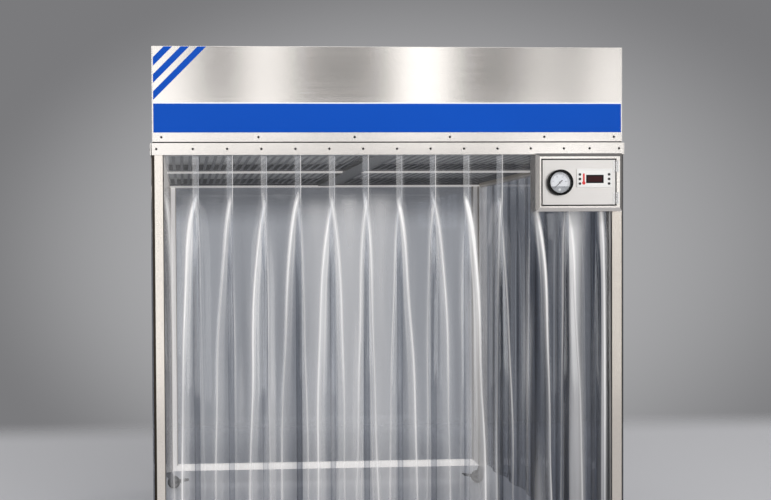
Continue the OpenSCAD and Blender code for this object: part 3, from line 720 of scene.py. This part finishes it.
@dataclass(frozen=True)
class ControllerFace:
    """The printed membrane of the controller, with a red bar and a fine grey frame."""

    name: str
    centre: Vector
    half: Vector
    inset: float = 0.005
    line: float = 0.0007
    bar_x: float = -0.0475
    stem: Triple = (0.0042, 0.002, 0.018)
    bulb: float = 0.0078
    bulb_drop: float = 0.021
    red: Colour = (0.62, 0.03, 0.03)

    def material(self) -> Material:
        """Makes the material.

        Returns:
            The material.
        """
        board = Board(self.name)
        across, up = board.beside(self.centre)
        end_x, end_z = self.half.x - self.inset, self.half.z - self.inset
        off_x, off_z = across.distance(0.0), up.distance(0.0)
        frame_line = (off_x.distance(end_x).below(self.line) * off_z.below(end_z)
                      + off_z.distance(end_z).below(self.line) * off_x.below(end_x))
        wide, middle, tall = self.stem
        stem = across.distance(self.bar_x).below(wide) * up.distance(middle).below(tall)
        side = across - self.bar_x
        drop = up + self.bulb_drop
        bulb = (side * side + drop * drop).below(self.bulb ** 2)
        paper = board.noise(25.0)
        white = board.mix(paper, (0.72, 0.71, 0.69), (0.80, 0.79, 0.77))
        lined = board.mix(frame_line.above(0.5) * 0.35, white, (0.2, 0.2, 0.2))
        return board.paint(
            Base_Color=board.mix((stem + bulb).above(0.5), lined, self.red),
            Roughness=0.42 + (paper - 0.5) * 0.1, Normal=board.bump(paper, 0.05, 0.0003))


@dataclass(frozen=True)
class DisplayGlass:
    """The display: dark red glass with a black border."""

    name: str
    centre: Vector
    half: Vector
    border: float = 0.0065
    black: Colour = (0.006, 0.006, 0.007)

    def material(self) -> Material:
        """Makes the material.

        Returns:
            The material.
        """
        board = Board(self.name)
        across, up = board.beside(self.centre)
        inner_x = across.distance(0.0).below(self.half.x - self.border)
        inner_z = up.distance(0.0).below(self.half.z - self.border)
        depth = board.noise(40.0)
        red = board.mix(depth, (0.022, 0.004, 0.005), (0.045, 0.008, 0.010))
        return board.paint(
            Base_Color=board.mix(inner_x * inner_z, self.black, red),
            Roughness=0.30 + (depth - 0.5) * 0.04, Specular_IOR_Level=0.15)


@dataclass(frozen=True)
class WheelRubber:
    """Grey tread around a paler hub."""

    name: str
    axles: tuple[float, ...]
    height: float
    radius: float = 0.0275
    hub: Colour = (0.13, 0.13, 0.135)

    def material(self) -> Material:
        """Makes the material.

        Returns:
            The material.
        """
        board = Board(self.name)
        x, _, z = board.place()
        up = z - self.height
        sides = [x - axle for axle in self.axles]
        near = [(side * side + up * up).below(self.radius ** 2) for side in sides]
        grain = board.noise(400.0)
        tread = board.mix(grain, (0.025, 0.025, 0.027), (0.045, 0.045, 0.048))
        return board.paint(
            Base_Color=board.mix(sum(near), tread, self.hub),
            Roughness=0.5 + (grain - 0.5) * 0.2, Normal=board.bump(grain, 0.1, 0.0004))


Groups = tuple[tuple[str, Finish], ...]


def dress(names: Iterable[str], finish: Finish) -> None:
    """Gives CAD nodes a finish.

    Args:
        names: The nodes.
        finish: Their finish.
    """
    material = finish.material()
    for name in names:
        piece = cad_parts[name]
        if not piece.material_slots:
            piece.data.materials.append(material)
        for slot in piece.material_slots:
            slot.material = material
        log.info("%s: %s", name, material.name)


def link(name: str, mesh: bpy.types.Mesh, material: Material, body: str) -> bpy.types.Object:
    """Puts a mesh in the scene.

    Args:
        name: The piece's name.
        mesh: Its mesh, in the booth's own frame.
        material: Its finish.
        body: The CAD body that it rides on.

    Returns:
        The piece.
    """
    mesh.materials.append(material)
    piece = bpy.data.objects.new(name, mesh)
    bpy.context.scene.collection.objects.link(piece)
    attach(piece, body)
    log.info("%s: %s", name, material.name)
    return piece


# Sub-assemblies


@dataclass
class Assembly:
    """Nodes that keep their shape, and the finish of each group of them."""

    finishes: Groups = ()

    def build(self) -> None:
        """Dresses the nodes."""
        for names, finish in self.finishes:
            dress(names.split(), finish)


@dataclass
class Steelwork(Assembly):
    """The frame, the header's sheets and the clamps."""

    finishes: Groups = (
        ("rear_left_post rear_right_post",
         BrushedSteel("upright_steel", grain=Axis.Z, metallic=0.92)),
        # Painted light: the rail glows as if lit.
        ("rear_bottom_rail", BrushedSteel("foot_steel", metallic=0.2, roughness=0.4, glow=0.68)),
        ("front_top_rail header_flange curtain_clamps", BrushedSteel("sheet_steel")),
        ("header_back_panel header_left_panel header_right_panel header_roof",
         BrushedSteel("header_steel", metallic=0.75, roughness=0.3)),
        ("centre_beam",
         BrushedSteel("beam_steel", (0.26, 0.255, 0.25), Axis.Y, roughness=0.35)),
        # Painted light: the side rails glow a little.
        ("side_top_rails",
         BrushedSteel("side_rail_steel", (0.50, 0.45, 0.39), Axis.Y, roughness=0.35, glow=0.12)),
        ("fascia", BrushedSteel("fascia_steel", roughness=0.165, cloud=0.03)),
        # Painted shade: the ceiling trays and fan deck are tinted dark.
        ("ceiling_trays fan_deck",
         BrushedSteel("galvanised_steel", (0.255, 0.257, 0.265), roughness=0.45, across=300.0)),
        ("cover_screws", BrushedSteel("screw_steel", (0.05, 0.047, 0.045), roughness=0.35)),
        ("box_hinge_leaves door_hinge_leaves caster_stems",
         BrushedSteel("bright_steel", (0.72, 0.71, 0.70), roughness=0.22)),
        ("fascia_film", CoverFilm("blue_film")),
        ("header_gasket door_gasket", Coating("gasket_rubber", (0.012, 0.012, 0.013), 0.7)))
    # Each front post's name, the widths of its painted dark edges left and right, and its tint,
    # darker on the right post as painted shade
    uprights: tuple[tuple[str, float, float, Colour], ...] = (
        ("front_left_post", 0.0115, 0.003, (0.85, 0.79, 0.72)),
        ("front_right_post", 0.002, 0.005, (0.75, 0.69, 0.62)))
    face_depth: float = 0.0015
    side_inset: float = 0.003
    # Each rear stile's name and its painted glow, stronger on the left as painted light
    stiles: tuple[tuple[str, float], ...] = (("rear_left_stile", 0.56), ("rear_right_stile", 0.12))
    # Width and colour of the painted shade along each stile's edges
    stile_edge: float = 0.005
    stile_edge_shade: Colour = (0.26, 0.24, 0.22)
    lipped: tuple[str, ...] = ("cross_bars", "rear_top_rail")
    lip: float = 0.009

    def build(self) -> None:
        """Gives every steel node its finish."""
        super().build()
        for name, left, right, tint in self.uprights:
            # Painted shade on the post's outer edges and on its inner side face.
            low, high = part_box(name)
            front = Vector((high.x, low.y + self.face_depth - PAST, high.z))
            inner = high.x if low.x < 0.0 else low.x
            side = (Vector((inner - self.face_depth, low.y + self.side_inset, low.z - PAST)),
                    Vector((inner + self.face_depth, high.y - self.side_inset, high.z + PAST)))
            shades = (*margins(low, front, Axis.X, left, right), side)
            dress([name], BrushedSteel(
                f"{name}_steel", tint, Axis.Z, metallic=0.92, shades=shades))
        # The stiles glow as painted light, with painted shade along their edges.
        for name, glow in self.stiles:
            edges = margins(*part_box(name), Axis.X, self.stile_edge, self.stile_edge)
            dress([name], BrushedSteel(
                f"{name}_steel", grain=Axis.Z, metallic=0.5, roughness=0.4, glow=glow,
                shades=edges, dark=self.stile_edge_shade))
        # The bars get a painted highlight along their lower edges.
        for name in self.lipped:
            dress([name], LippedSteel(f"{name}_steel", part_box(name)[0].z + self.lip))


@dataclass
class AirPath(Assembly):
    """The filters, motors and impellers in the header."""

    finishes: Groups = (
        ("main_filters inlet_filters", PleatedMedia("pleated_media")),
        ("blower_motors", Coating("motor_paint", (0.02, 0.02, 0.022), 0.45, coat=0.2)),
        ("left_impeller right_impeller",
         BrushedSteel("impeller_metal", (0.62, 0.63, 0.64), roughness=0.4, across=200.0)))


@dataclass(frozen=True)
class Spot:
    """A place on a strip, and the ridge whose part of the strip it is in.

    Its share of the width runs from 0 to 1. Its distance is measured from the edge that
    the ridge belongs to, and the reach is how far the ridge lies from that edge.
    """

    share: float
    along: float
    distance: float
    reach: float


@dataclass
class StripRun:
    """One row of overlapping strips.

    A strip hangs flat under its clamp. Lower down it bows to one side. A strong ridge
    runs down and away from its right edge, and a weak one from its left edge.
    """

    name: str
    node: str
    starts: list[float]
    ends: list[float]
    outer_first: bool
    bow_in: float
    bow_out: float
    face: float
    top: float
    bottom: float
    rows: int = 64
    gap: float = 0.0023
    clamped: float = 0.052
    flat_drop: float = 0.172
    bow_drop: float = 0.46
    edge: float = 0.0025
    overlap: float = 0.026
    ridge: float = 0.0024
    ridge_width: float = 0.0050
    split: Span = (0.36, 0.64)
    weak_ridge: Span = (0.024, 0.012)
    strong_ridge: Span = (0.034, 0.078)
    lean_from: float = 3.0
    lean_to: float = 7.5
    opening: float = 0.14
    creasing: float = 1.0
    # Patches of painted highlight and painted shade on single strips.
    painted_patches: tuple[PaintedPatch, ...] = ()
    place: Callable[[float, float, float], Vector] = field(
        default=lambda along, out, z: Vector((along, -out, z)))

    def drop(self, index: int, z: float) -> float:
        """Gives how far a height lies below the place where a strip starts to bow."""
        return self.top - self.clamped - self.flat_drop + 0.018 * math.sin(2.4 * index + 0.6) - z

    def lean(self, index: int) -> float:
        """Gives 0 where a strip's right ridge is the strong one, and 1 where its left is."""
        return ramp(index - self.lean_from, self.lean_to - self.lean_from)

    def parting(self, index: int) -> float:
        """Gives the share of a strip's width that its left ridge has to itself."""
        least, most = self.split
        return least + (most - least) * self.lean(index)

    def reach(self, index: int, lean: float, span: float, drop: float) -> float:
        """Gives a ridge's distance from its edge.

        Args:
            index: The strip's number.
            lean: How strong the ridge is, from 0 to 1.
            span: The width of the strip's part that the ridge runs in.
            drop: How far the point is below the start of the bow.

        Returns:
            The distance, in metres.
        """
        at_once, further = (
            weak + (strong - weak) * lean
            for weak, strong in zip(self.weak_ridge, self.strong_ridge))
        opened = 1.0 - fading(drop, self.opening)
        sway = 0.10 * math.sin(4.1 * drop + 2.3 * index) + 0.05 * math.sin(9.7 * drop + index)
        full = at_once * opened + further * max(drop, 0.0)
        full *= waver(0.22, 1.7 * index + 11.0 * at_once) * (1.0 + sway * opened)
        limit = span - 2.6 * self.ridge_width - 2.0 * self.edge
        return 2.0 * self.edge + limit * math.tanh(full / limit)

    def half(self, reach: float, span: float) -> list[float]:
        """Lists the distances from an edge at which a part of the strip has its columns.

        Args:
            reach: The ridge's distance from the edge.
            span: The part's width.

        Returns:
            The distances, from the edge to just short of the part's end.
        """
        last = min(reach + 2.4 * self.ridge_width, span * 0.98)
        inner = max(reach - 2.0 * self.ridge_width, self.edge * 1.5)
        stops = ((self.edge, inner, 8, 9), (inner, last, 8, 9), (last, span, 4, 4))
        return [0.0, self.edge] + [
            start + (end - start) * part / float(parts)
            for start, end, parts, stop in stops for part in range(1, stop)]

    def crease(self, index: int, spot: Spot, drop: float) -> float:
        """Gives how a point's crease looks: whitened film and painted highlight along the ridge and
        beside it, and painted shade in a darker streak lower down.

        Args:
            index: The strip's number.
            spot: The place on the strip.
            drop: How far the point is below the start of the bow.

        Returns:
            The crease's haze and painted highlight, or below zero its painted shade.
        """
        lean = self.lean(index)
        lean = lean if spot.share < self.parting(index) else 1.0 - lean
        strength = (0.34 + 0.66 * lean) * waver(0.30, 2.9 * index + 1.3) * self.creasing
        away = spot.distance - spot.reach
        # Painted highlight along the ridge, partly whitened film.
        line = hump(away, self.ridge_width * (0.9 + 1.7 * fading(drop, 0.34)) / 1.5)
        line *= 0.56 + 0.36 * fading(drop, 0.45)
        line += 0.17 * hump(away, 3.2 * self.ridge_width)
        line *= waver(0.30, 5.3 * drop + 2.2 * index)
        second = hump(spot.distance - 0.62 * spot.reach, 0.7 * self.ridge_width)
        line += 0.35 * second * ramp(drop, 0.25)
        # Painted highlight in the wedge between the edge and the ridge.
        inside = spot.distance / spot.reach if away < 0.0 else 0.0
        milk = inside ** 1.5 * (0.36 * fading(drop - 0.12, 0.30) + 0.12)
        # Painted shade: a darker streak inside the wedge lower down.
        blue = hump(inside - 0.38, 0.24) if inside else 0.0
        blue *= ramp(drop - 0.24, 0.14) * fading(drop - 0.7, 0.6)
        return (0.70 * line + milk - 0.34 * blue) * strength * ramp(drop, 0.05)

    def form(self, index: int, spot: Spot, z: float) -> tuple[float, float]:
        """Gives a point's stand-out and how its crease looks.

        Args:
            index: The strip's number.
            spot: The place on the strip.
            z: The height.

        Returns:
            The distance from the clamped plane, in metres, and the crease's haze and painted
            highlight, or below zero its painted shade.
        """
        outer = index % 2 == (0 if self.outer_first else 1)
        drop = self.drop(index, z)
        started = ramp(drop, 0.06)
        bow = (self.bow_out if outer else -self.bow_in) * waver(0.15, 3.1 * index)
        rise = ramp(drop, self.bow_drop)
        curve = (1.0 - (2.0 * spot.share - 1.0) ** 2) * rise * (2.0 - rise)
        crest = hump(spot.distance - spot.reach, self.ridge_width) * started
        bent = bow * curve * waver(0.12, 2.7 * z + 1.9 * index)
        bent += math.copysign(self.ridge, bow) * crest
        haze = self.crease(index, spot, drop)
        # Patches of painted highlight and painted shade.
        for strip, middle, spread, strength in self.painted_patches:
            if strip == index:
                faded = 0.45 + 0.55 * fading(drop, 0.5)
                haze += strength * faded * hump(spot.share - middle, spread) * started
        flat = fading(drop, 0.12)
        left = spot.share < self.parting(index)
        # Lighter at the overlaps and edges near the clamp, partly doubled film and partly painted
        # highlight; darker lower down, painted shade.
        if spot.distance < self.overlap:
            haze += (0.16 if left else 0.06) * flat - 0.08 * (1.0 - flat)
        if spot.distance <= self.edge:
            haze += (0.10 if left else 0.60) * flat - 0.26 * (1.0 - flat)
        return (self.gap if outer else 0.0) + bent, haze

    def row(self, index: int, z: float) -> list[Spot]:
        """Lists the places of one row of a strip.

        Args:
            index: The strip's number.
            z: The row's height.

        Returns:
            The places, from the left edge to the right one.
        """
        width = self.ends[index] - self.starts[index]
        drop = self.drop(index, z)
        first = width * self.parting(index)
        second = width - first
        lean = self.lean(index)
        left = self.reach(index, lean, first, drop)
        right = self.reach(index + 1, 1.0 - lean, second, drop)
        spots = [Spot(part / width, part, part, left) for part in self.half(left, first)]
        spots.append(Spot(first / width, first, second, right))
        return spots + [Spot(1.0 - part / width, width - part, part, right)
                        for part in reversed(self.half(right, second))]

    def mesh(self, index: int) -> bpy.types.Mesh:
        """Makes one strip as a single surface.

        Args:
            index: The strip's number.

        Returns:
            The mesh.
        """
        points = []
        hazes = []
        for row in range(self.rows + 1):
            z = self.top + (self.bottom - self.top) * row / self.rows
            spots = self.row(index, z)
            for spot in spots:
                out, haze = self.form(index, spot, z)
                points.append(self.place(self.starts[index] + spot.along, self.face + out, z))
                hazes.append(haze)
        wide = len(spots)
        corners = [row * wide + column for row in range(self.rows) for column in range(wide - 1)]
        faces = [(corner, corner + 1, corner + wide + 1, corner + wide) for corner in corners]
        mesh = bpy.data.meshes.new(f"{self.name}_{index + 1:02d}")
        mesh.from_pydata(points, [], faces)
        mesh.polygons.foreach_set("use_smooth", [True] * len(faces))
        mesh.attributes.new(CREASE_LIGHT, "FLOAT", "POINT").data.foreach_set("value", hazes)
        return mesh

    def build(self, film: Finish) -> None:
        """Hangs every strip of the run.

        Args:
            film: The strips' finish.
        """
        material = film.material()
        for index, (start, end) in enumerate(zip(self.starts, self.ends)):
            mesh = self.mesh(index)
            strip = link(mesh.name, mesh, material, "frame")
            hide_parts(self.node)
            end - start


@dataclass
class Curtain:
    """All strips, and the clear sheet at the back."""

    width: float = 0.176
    first: float = 0.151
    pitch: float = 0.150
    side_count: int = 13
    front_in: float = 0.020
    front_out: float = 0.012
    side_in: float = 0.015
    side_out: float = 0.003
    inset: float = 0.001
    # Strip, place and spread over its width, and painted highlight above zero or painted shade below
    # it
    painted_front_patches: tuple[PaintedPatch, ...] = (
        (10, 0.45, 0.25, -0.20), (11, 0.45, 0.28, -0.28), (12, 0.30, 0.26, 0.52),
        (12, 0.80, 0.13, -0.40), (6, 0.45, 0.34, 0.34), (5, 0.50, 0.36, 0.32),
        (2, 0.35, 0.20, -0.10), (4, 0.55, 0.32, 0.24))

    def front_places(self, low: float, high: float) -> tuple[list[float], list[float]]:
        """Works out where the front strips start and end.

        Args:
            low: The left end of the row.
            high: The right end of the row.

        Returns:
            The left and the right edges.
        """
        lap = self.width - self.pitch
        starts = [low]
        ends = [low + self.first]
        while ends[-1] < high:
            starts.append(low + self.first - lap + (len(starts) - 1) * self.pitch)
            ends.append(min(starts[-1] + self.width, high))
        return starts, ends

    def build(self) -> None:
        """Hangs the strips and dresses the rear sheet."""
        low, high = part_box("front_strips")
        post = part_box("front_left_post")[0]
        # The front film has painted shade on its right end and a painted shadow under the clamp.
        StripRun("front_strip", "front_strips", *self.front_places(low.x, high.x), False,
                 self.front_in, self.front_out, self.inset - post.y, high.z, low.z,
                 painted_patches=self.painted_front_patches).build(HungFilm(
                     "front_film", painted_shade=0.40, clamp_z=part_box("curtain_clamps")[0].z))
        low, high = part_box("side_strips")
        step = (high.y - low.y - self.width) / (self.side_count - 1)
        places = [low.y + step * index for index in range(self.side_count)]
        finishes = [place + self.width for place in places]
        for side, sign in (("left", -1.0), ("right", 1.0)):
            StripRun(f"{side}_strip", "side_strips", places, finishes, True, self.side_in,
                     self.side_out, self.inset - post.x, high.z, low.z, rows=40,
                     creasing=0.12, lean_from=100.0, lean_to=101.0,
                     place=lambda along, out, z, sign=sign: Vector((sign * out, along, z))
                     ).build(HungFilm("side_film", ripple=0.02, streaks=0.3))
        dress(["rear_sheet"], RearSheet("clear_sheet"))


@dataclass
class ControlPanel(Assembly):
    """The control box with its gauge and controller."""

    finishes: Groups = (
        ("gauge_case", Coating("bezel_black", (0.003, 0.003, 0.003), 0.5, specular=0.15)),
        ("gauge_pointer", Coating("pointer_black", (0.015, 0.015, 0.015), 0.5)),
        ("gauge_lens",
         ClearFilm("gauge_lens_clear", WHITE, haze=0.0, gloss=0.35, ripple=0.0, roughness=0.03)))
    numbers: tuple[str, ...] = ("0", "5", "10", "15", "20", "25")
    number_size: float = 0.0075
    number_radius: float = 0.0275
    number_lift: float = 0.0001
    dial_t: float = 0.001
    # Reach and depths of the painted shade in the box's recess around the door and on the door's
    # edges
    gap: float = 0.006
    skin: float = 0.0008
    lit_depth: float = 0.004
    dark_depth: float = 0.030

    def print_numbers(self, centre: Vector, face: float) -> None:
        """Prints the numbers on the dial.

        Args:
            centre: The dial's centre.
            face: The Y of the dial's face.
        """
        ink = Coating("dial_ink", (0.10, 0.10, 0.11), roughness=0.6).material()
        for place, label in enumerate(self.numbers):
            turn = math.radians(-135.0 + 270.0 * place / (len(self.numbers) - 1))
            curve = bpy.data.curves.new(f"dial_number_{place}", "FONT")
            curve.body = label
            curve.size = self.number_size
            curve.align_x = "CENTER"
            curve.align_y = "CENTER"
            holder = bpy.data.objects.new("number_holder", curve)
            bpy.context.scene.collection.objects.link(holder)
            bpy.context.view_layer.update()
            mesh = bpy.data.meshes.new_from_object(holder)
            bpy.data.objects.remove(holder)
            mesh.transform(Matrix.Rotation(math.pi / 2, 4, "X"))
            spot = centre + Vector((math.sin(turn), 0.0, math.cos(turn))) * self.number_radius
            spot.y = face - self.number_lift
            mesh.transform(Matrix.Translation(spot))
            link(f"dial_number_{place}", mesh, ink, "door")

    def build(self) -> None:
        """Dresses the box, the gauge and the controller."""
        super().build()
        low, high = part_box("control_box_door")
        # Painted shade: the box is dark behind its front, around the door.
        around = (low + Vector((-self.gap, self.lit_depth, -self.gap)),
                  Vector((high.x + self.gap, low.y + self.dark_depth, high.z + self.gap)))
        dress(["control_box"], BrushedSteel("box_steel", shades=(around,)))
        # Painted shade on the door's edges, in the gap.
        behind = low + Vector((0.0, self.skin + PAST, 0.0))
        edges = (margins(behind, high, axis, self.skin, self.skin) for axis in (Axis.X, Axis.Z))
        dress(["control_box_door"], BrushedSteel(
            "door_steel", tint=(0.82, 0.79, 0.76), roughness=0.36, shades=sum(edges, ())))
        centre = sum(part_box("gauge_case"), Vector()) / 2.0
        dress(["gauge_dial"], DialFace("dial_face", centre))
        self.print_numbers(centre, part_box("gauge_dial")[1].y - self.dial_t)
        for name, label, kind in (("controller", "controller_face", ControllerFace),
                                  ("controller_display", "display_glass", DisplayGlass)):
            low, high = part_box(name)
            dress([name], kind(label, (low + high) / 2.0, (high - low) / 2.0))
        keys = [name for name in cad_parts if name.startswith("button_")]
        dress(keys, Coating("key_rubber", (0.012, 0.012, 0.012), roughness=0.5))


@dataclass
class Casters(Assembly):
    """The four casters and the two brakes."""

    finishes: Groups = (
        ("rear_left_pedal rear_right_pedal",
         Coating("pedal_paint", (0.02, 0.02, 0.022), 0.45)),)
    corners: tuple[str, ...] = ("front_left", "front_right", "rear_left", "rear_right")

    def build(self) -> None:
        """Gives the caster pieces their finishes."""
        super().build()
        dress([f"{corner}_fork" for corner in self.corners], BrushedSteel(
            "caster_zinc", tint=(0.22, 0.22, 0.23), roughness=0.4, across=200.0))
        wheels = [f"{corner}_wheel" for corner in self.corners]
        middles = [sum(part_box(wheel), Vector()) / 2.0 for wheel in wheels]
        axles = tuple(middle.x for middle in middles[:2])
        dress(wheels, WheelRubber("wheel_rubber", axles, middles[0].z))


# Studio


@dataclass
class Studio:
    """The floor, the background, the lights and the camera."""

    floor_half: float = 30.0
    pale: Colour = (0.63, 0.63, 0.655)
    wall_glow: Colour = (0.405, 0.405, 0.415)
    wall_dark: Colour = (0.195, 0.195, 0.202)
    glow_way: Triple = (0.225, 0.974, 0.0)
    glow_flattening: float = 0.6
    glow_edge: float = 0.883
    glow_full: float = 0.990
    back: Span = (2.3, 3.3)
    side: Span = (6.0, 9.0)
    fill: float = 0.55
    # The row of softboxes before the booth: name, X, Z, width, height and brightness
    row_y: float = -4.85
    row: tuple[tuple[str, float, float, float, float, float], ...] = (
        ("header_box_1", -0.95, 3.35, 0.30, 1.3, 1.0),
        ("header_box_2", -0.16, 3.35, 0.46, 1.3, 1.1),
        ("header_box_3", 1.26, 3.35, 0.54, 1.3, 1.6),
        ("header_box_4", 2.35, 3.35, 0.36, 1.3, 0.75),
        ("left_post_box", -1.23, 1.9, 0.56, 3.4, 1.25),
        ("left_box", -2.9, 1.9, 1.6, 3.4, 2.4),
        ("right_post_box", 3.05, 1.9, 0.60, 3.4, 1.1),
        ("right_box", 4.7, 1.9, 1.6, 3.4, 2.4),
        ("clamp_box", 1.0, 2.52, 4.6, 0.32, 1.6),
        ("panel_box", 2.45, 2.15, 0.55, 0.6, 2.0))
    photo: Span = (771.0, 500.0)
    sensor: float = 36.0
    focal: float = 871.8
    principal: Span = (224.4, 270.9)
    stand: Triple = (-0.912, -3.820, 1.484)
    turns: Triple = (-2.63, -0.90, -0.42)

    def floor(self) -> None:
        """Lays a pale floor that fades into the background behind the booth."""
        mesh = bpy.data.meshes.new("floor")
        half = self.floor_half
        corners = [(-half, -half, 0), (half, -half, 0), (half, half, 0), (-half, half, 0)]
        mesh.from_pydata(corners, [], [(0, 1, 2, 3)])
        floor = bpy.data.objects.new("floor", mesh)
        bpy.context.scene.collection.objects.link(floor)
        board = Board("floor_paint")
        x, y, _ = board.place()
        near = (1.0 - y.eased(*self.back)) * (1.0 - x.distance(0.0).eased(*self.side))
        far = 1.0 - near * (1.0 - y.distance(0.0).eased(*self.side))
        lit = board.principled(Base_Color=self.pale, Roughness=0.6)
        mesh.materials.append(board.finish(board.blend(far, lit, board.clear())))

    def world(self) -> None:
        """Makes the grey background with its glow, and the even fill light."""
        world = bpy.data.worlds.new("studio")
        bpy.context.scene.world = world
        world.use_nodes = True
        board = Board("studio", world.node_tree)
        way = board.node("ShaderNodeTexCoord", {}, {}).outputs["Generated"]
        inputs = {0: way, 1: Vector(self.glow_way).normalized()}
        dot = board.node("ShaderNodeVectorMath", {"operation": "DOT_PRODUCT"}, inputs)
        rise = Signal(board, board.node("ShaderNodeSeparateXYZ", {}, {0: way}).outputs[2])
        near = Signal(board, dot.outputs["Value"]).distance(0.0) - rise ** 2 * self.glow_flattening
        grey = board.mix(near.eased(self.glow_edge, self.glow_full), self.wall_dark, self.wall_glow)
        path = board.node("ShaderNodeLightPath", {}, {})
        seen = sum(Signal(board, path.outputs[f"Is {kind} Ray"])
                   for kind in ("Camera", "Glossy", "Transmission"))
        colour = board.mix(seen.above(0.5), darker(WHITE, self.fill), grey)
        board.finish(board.node("ShaderNodeBackground", {}, {0: colour, 1: 1.0}).outputs[0])

    def softbox(self, name: str, place: Triple, target: Triple, size: Span,
                radiance: float) -> None:
        """Adds a soft rectangular light.

        Args:
            name: The light's name.
            place: Its middle.
            target: The point that it faces.
            size: Its width and height.
            radiance: Its brightness, where 1 is as bright as a lit white wall.
        """
        data = bpy.data.lights.new(name, "AREA")
        data.shape = "RECTANGLE"
        data.size, data.size_y = size
        data.energy = radiance * math.pi * size[0] * size[1]
        lamp = bpy.data.objects.new(name, data)
        bpy.context.scene.collection.objects.link(lamp)
        lamp.location = place
        way = Vector(target) - Vector(place)
        lamp.rotation_euler = way.to_track_quat("-Z", "Y").to_euler()

    def lights(self) -> None:
        """Sets the softboxes around the booth."""
        for name, x, z, width, height, radiance in self.row:
            ahead = (x, self.row_y + 1.0, z)
            self.softbox(name, (x, self.row_y, z), ahead, (width, height), radiance)
        for name, x in (("back_left", -4.5), ("back_right", 4.5)):
            self.softbox(name, (x, 3.5, 3.0), (0.0, 0.0, 1.2), (1.5, 3.0), 0.8)
        self.softbox("front_key", (0.4, -5.2, 5.4), (0.0, 0.0, 0.2), (3.5, 2.0), 7.0)

    def camera(self) -> None:
        """Sets the camera that was fitted to the photo's edges."""
        data = bpy.data.cameras.new("camera")
        width, height = self.photo
        middle_x, middle_y = self.principal
        data.sensor_width = self.sensor
        data.lens = self.focal / width * self.sensor
        data.shift_x = (width / 2.0 - middle_x) / width
        data.shift_y = (middle_y - height / 2.0) / width
        camera = bpy.data.objects.new("camera", data)
        bpy.context.scene.collection.objects.link(camera)
        yaw, pitch, roll = (math.radians(part) for part in self.turns)
        turn = Matrix.Rotation(-yaw, 3, "Z")
        tilt = Matrix.Rotation(-pitch, 3, "X")
        bank = Matrix.Rotation(roll, 3, "Y")
        axes = (bank @ tilt @ turn).transposed()
        right, ahead, up = (axes.col[part] for part in range(3))
        basis = Matrix((right, up, -ahead)).transposed().to_4x4()
        x, before, z = self.stand
        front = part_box("front_left_post")[0].y
        camera.matrix_world = Matrix.Translation((x, front + before, z)) @ basis
        bpy.context.scene.camera = camera

    def build(self) -> None:
        """Builds the studio."""
        self.floor()
        self.world()
        self.lights()
        self.camera()
        bpy.context.scene.view_settings.view_transform = "Standard"
        log.info("studio built")


def main() -> None:
    """Builds the scene."""
    logging.basicConfig(level=logging.INFO, format="%(name)s: %(message)s")
    for part in (Studio(), Steelwork(), AirPath(), Curtain(), ControlPanel(), Casters()):
        part.build()


if __name__ == "__main__":
    main()
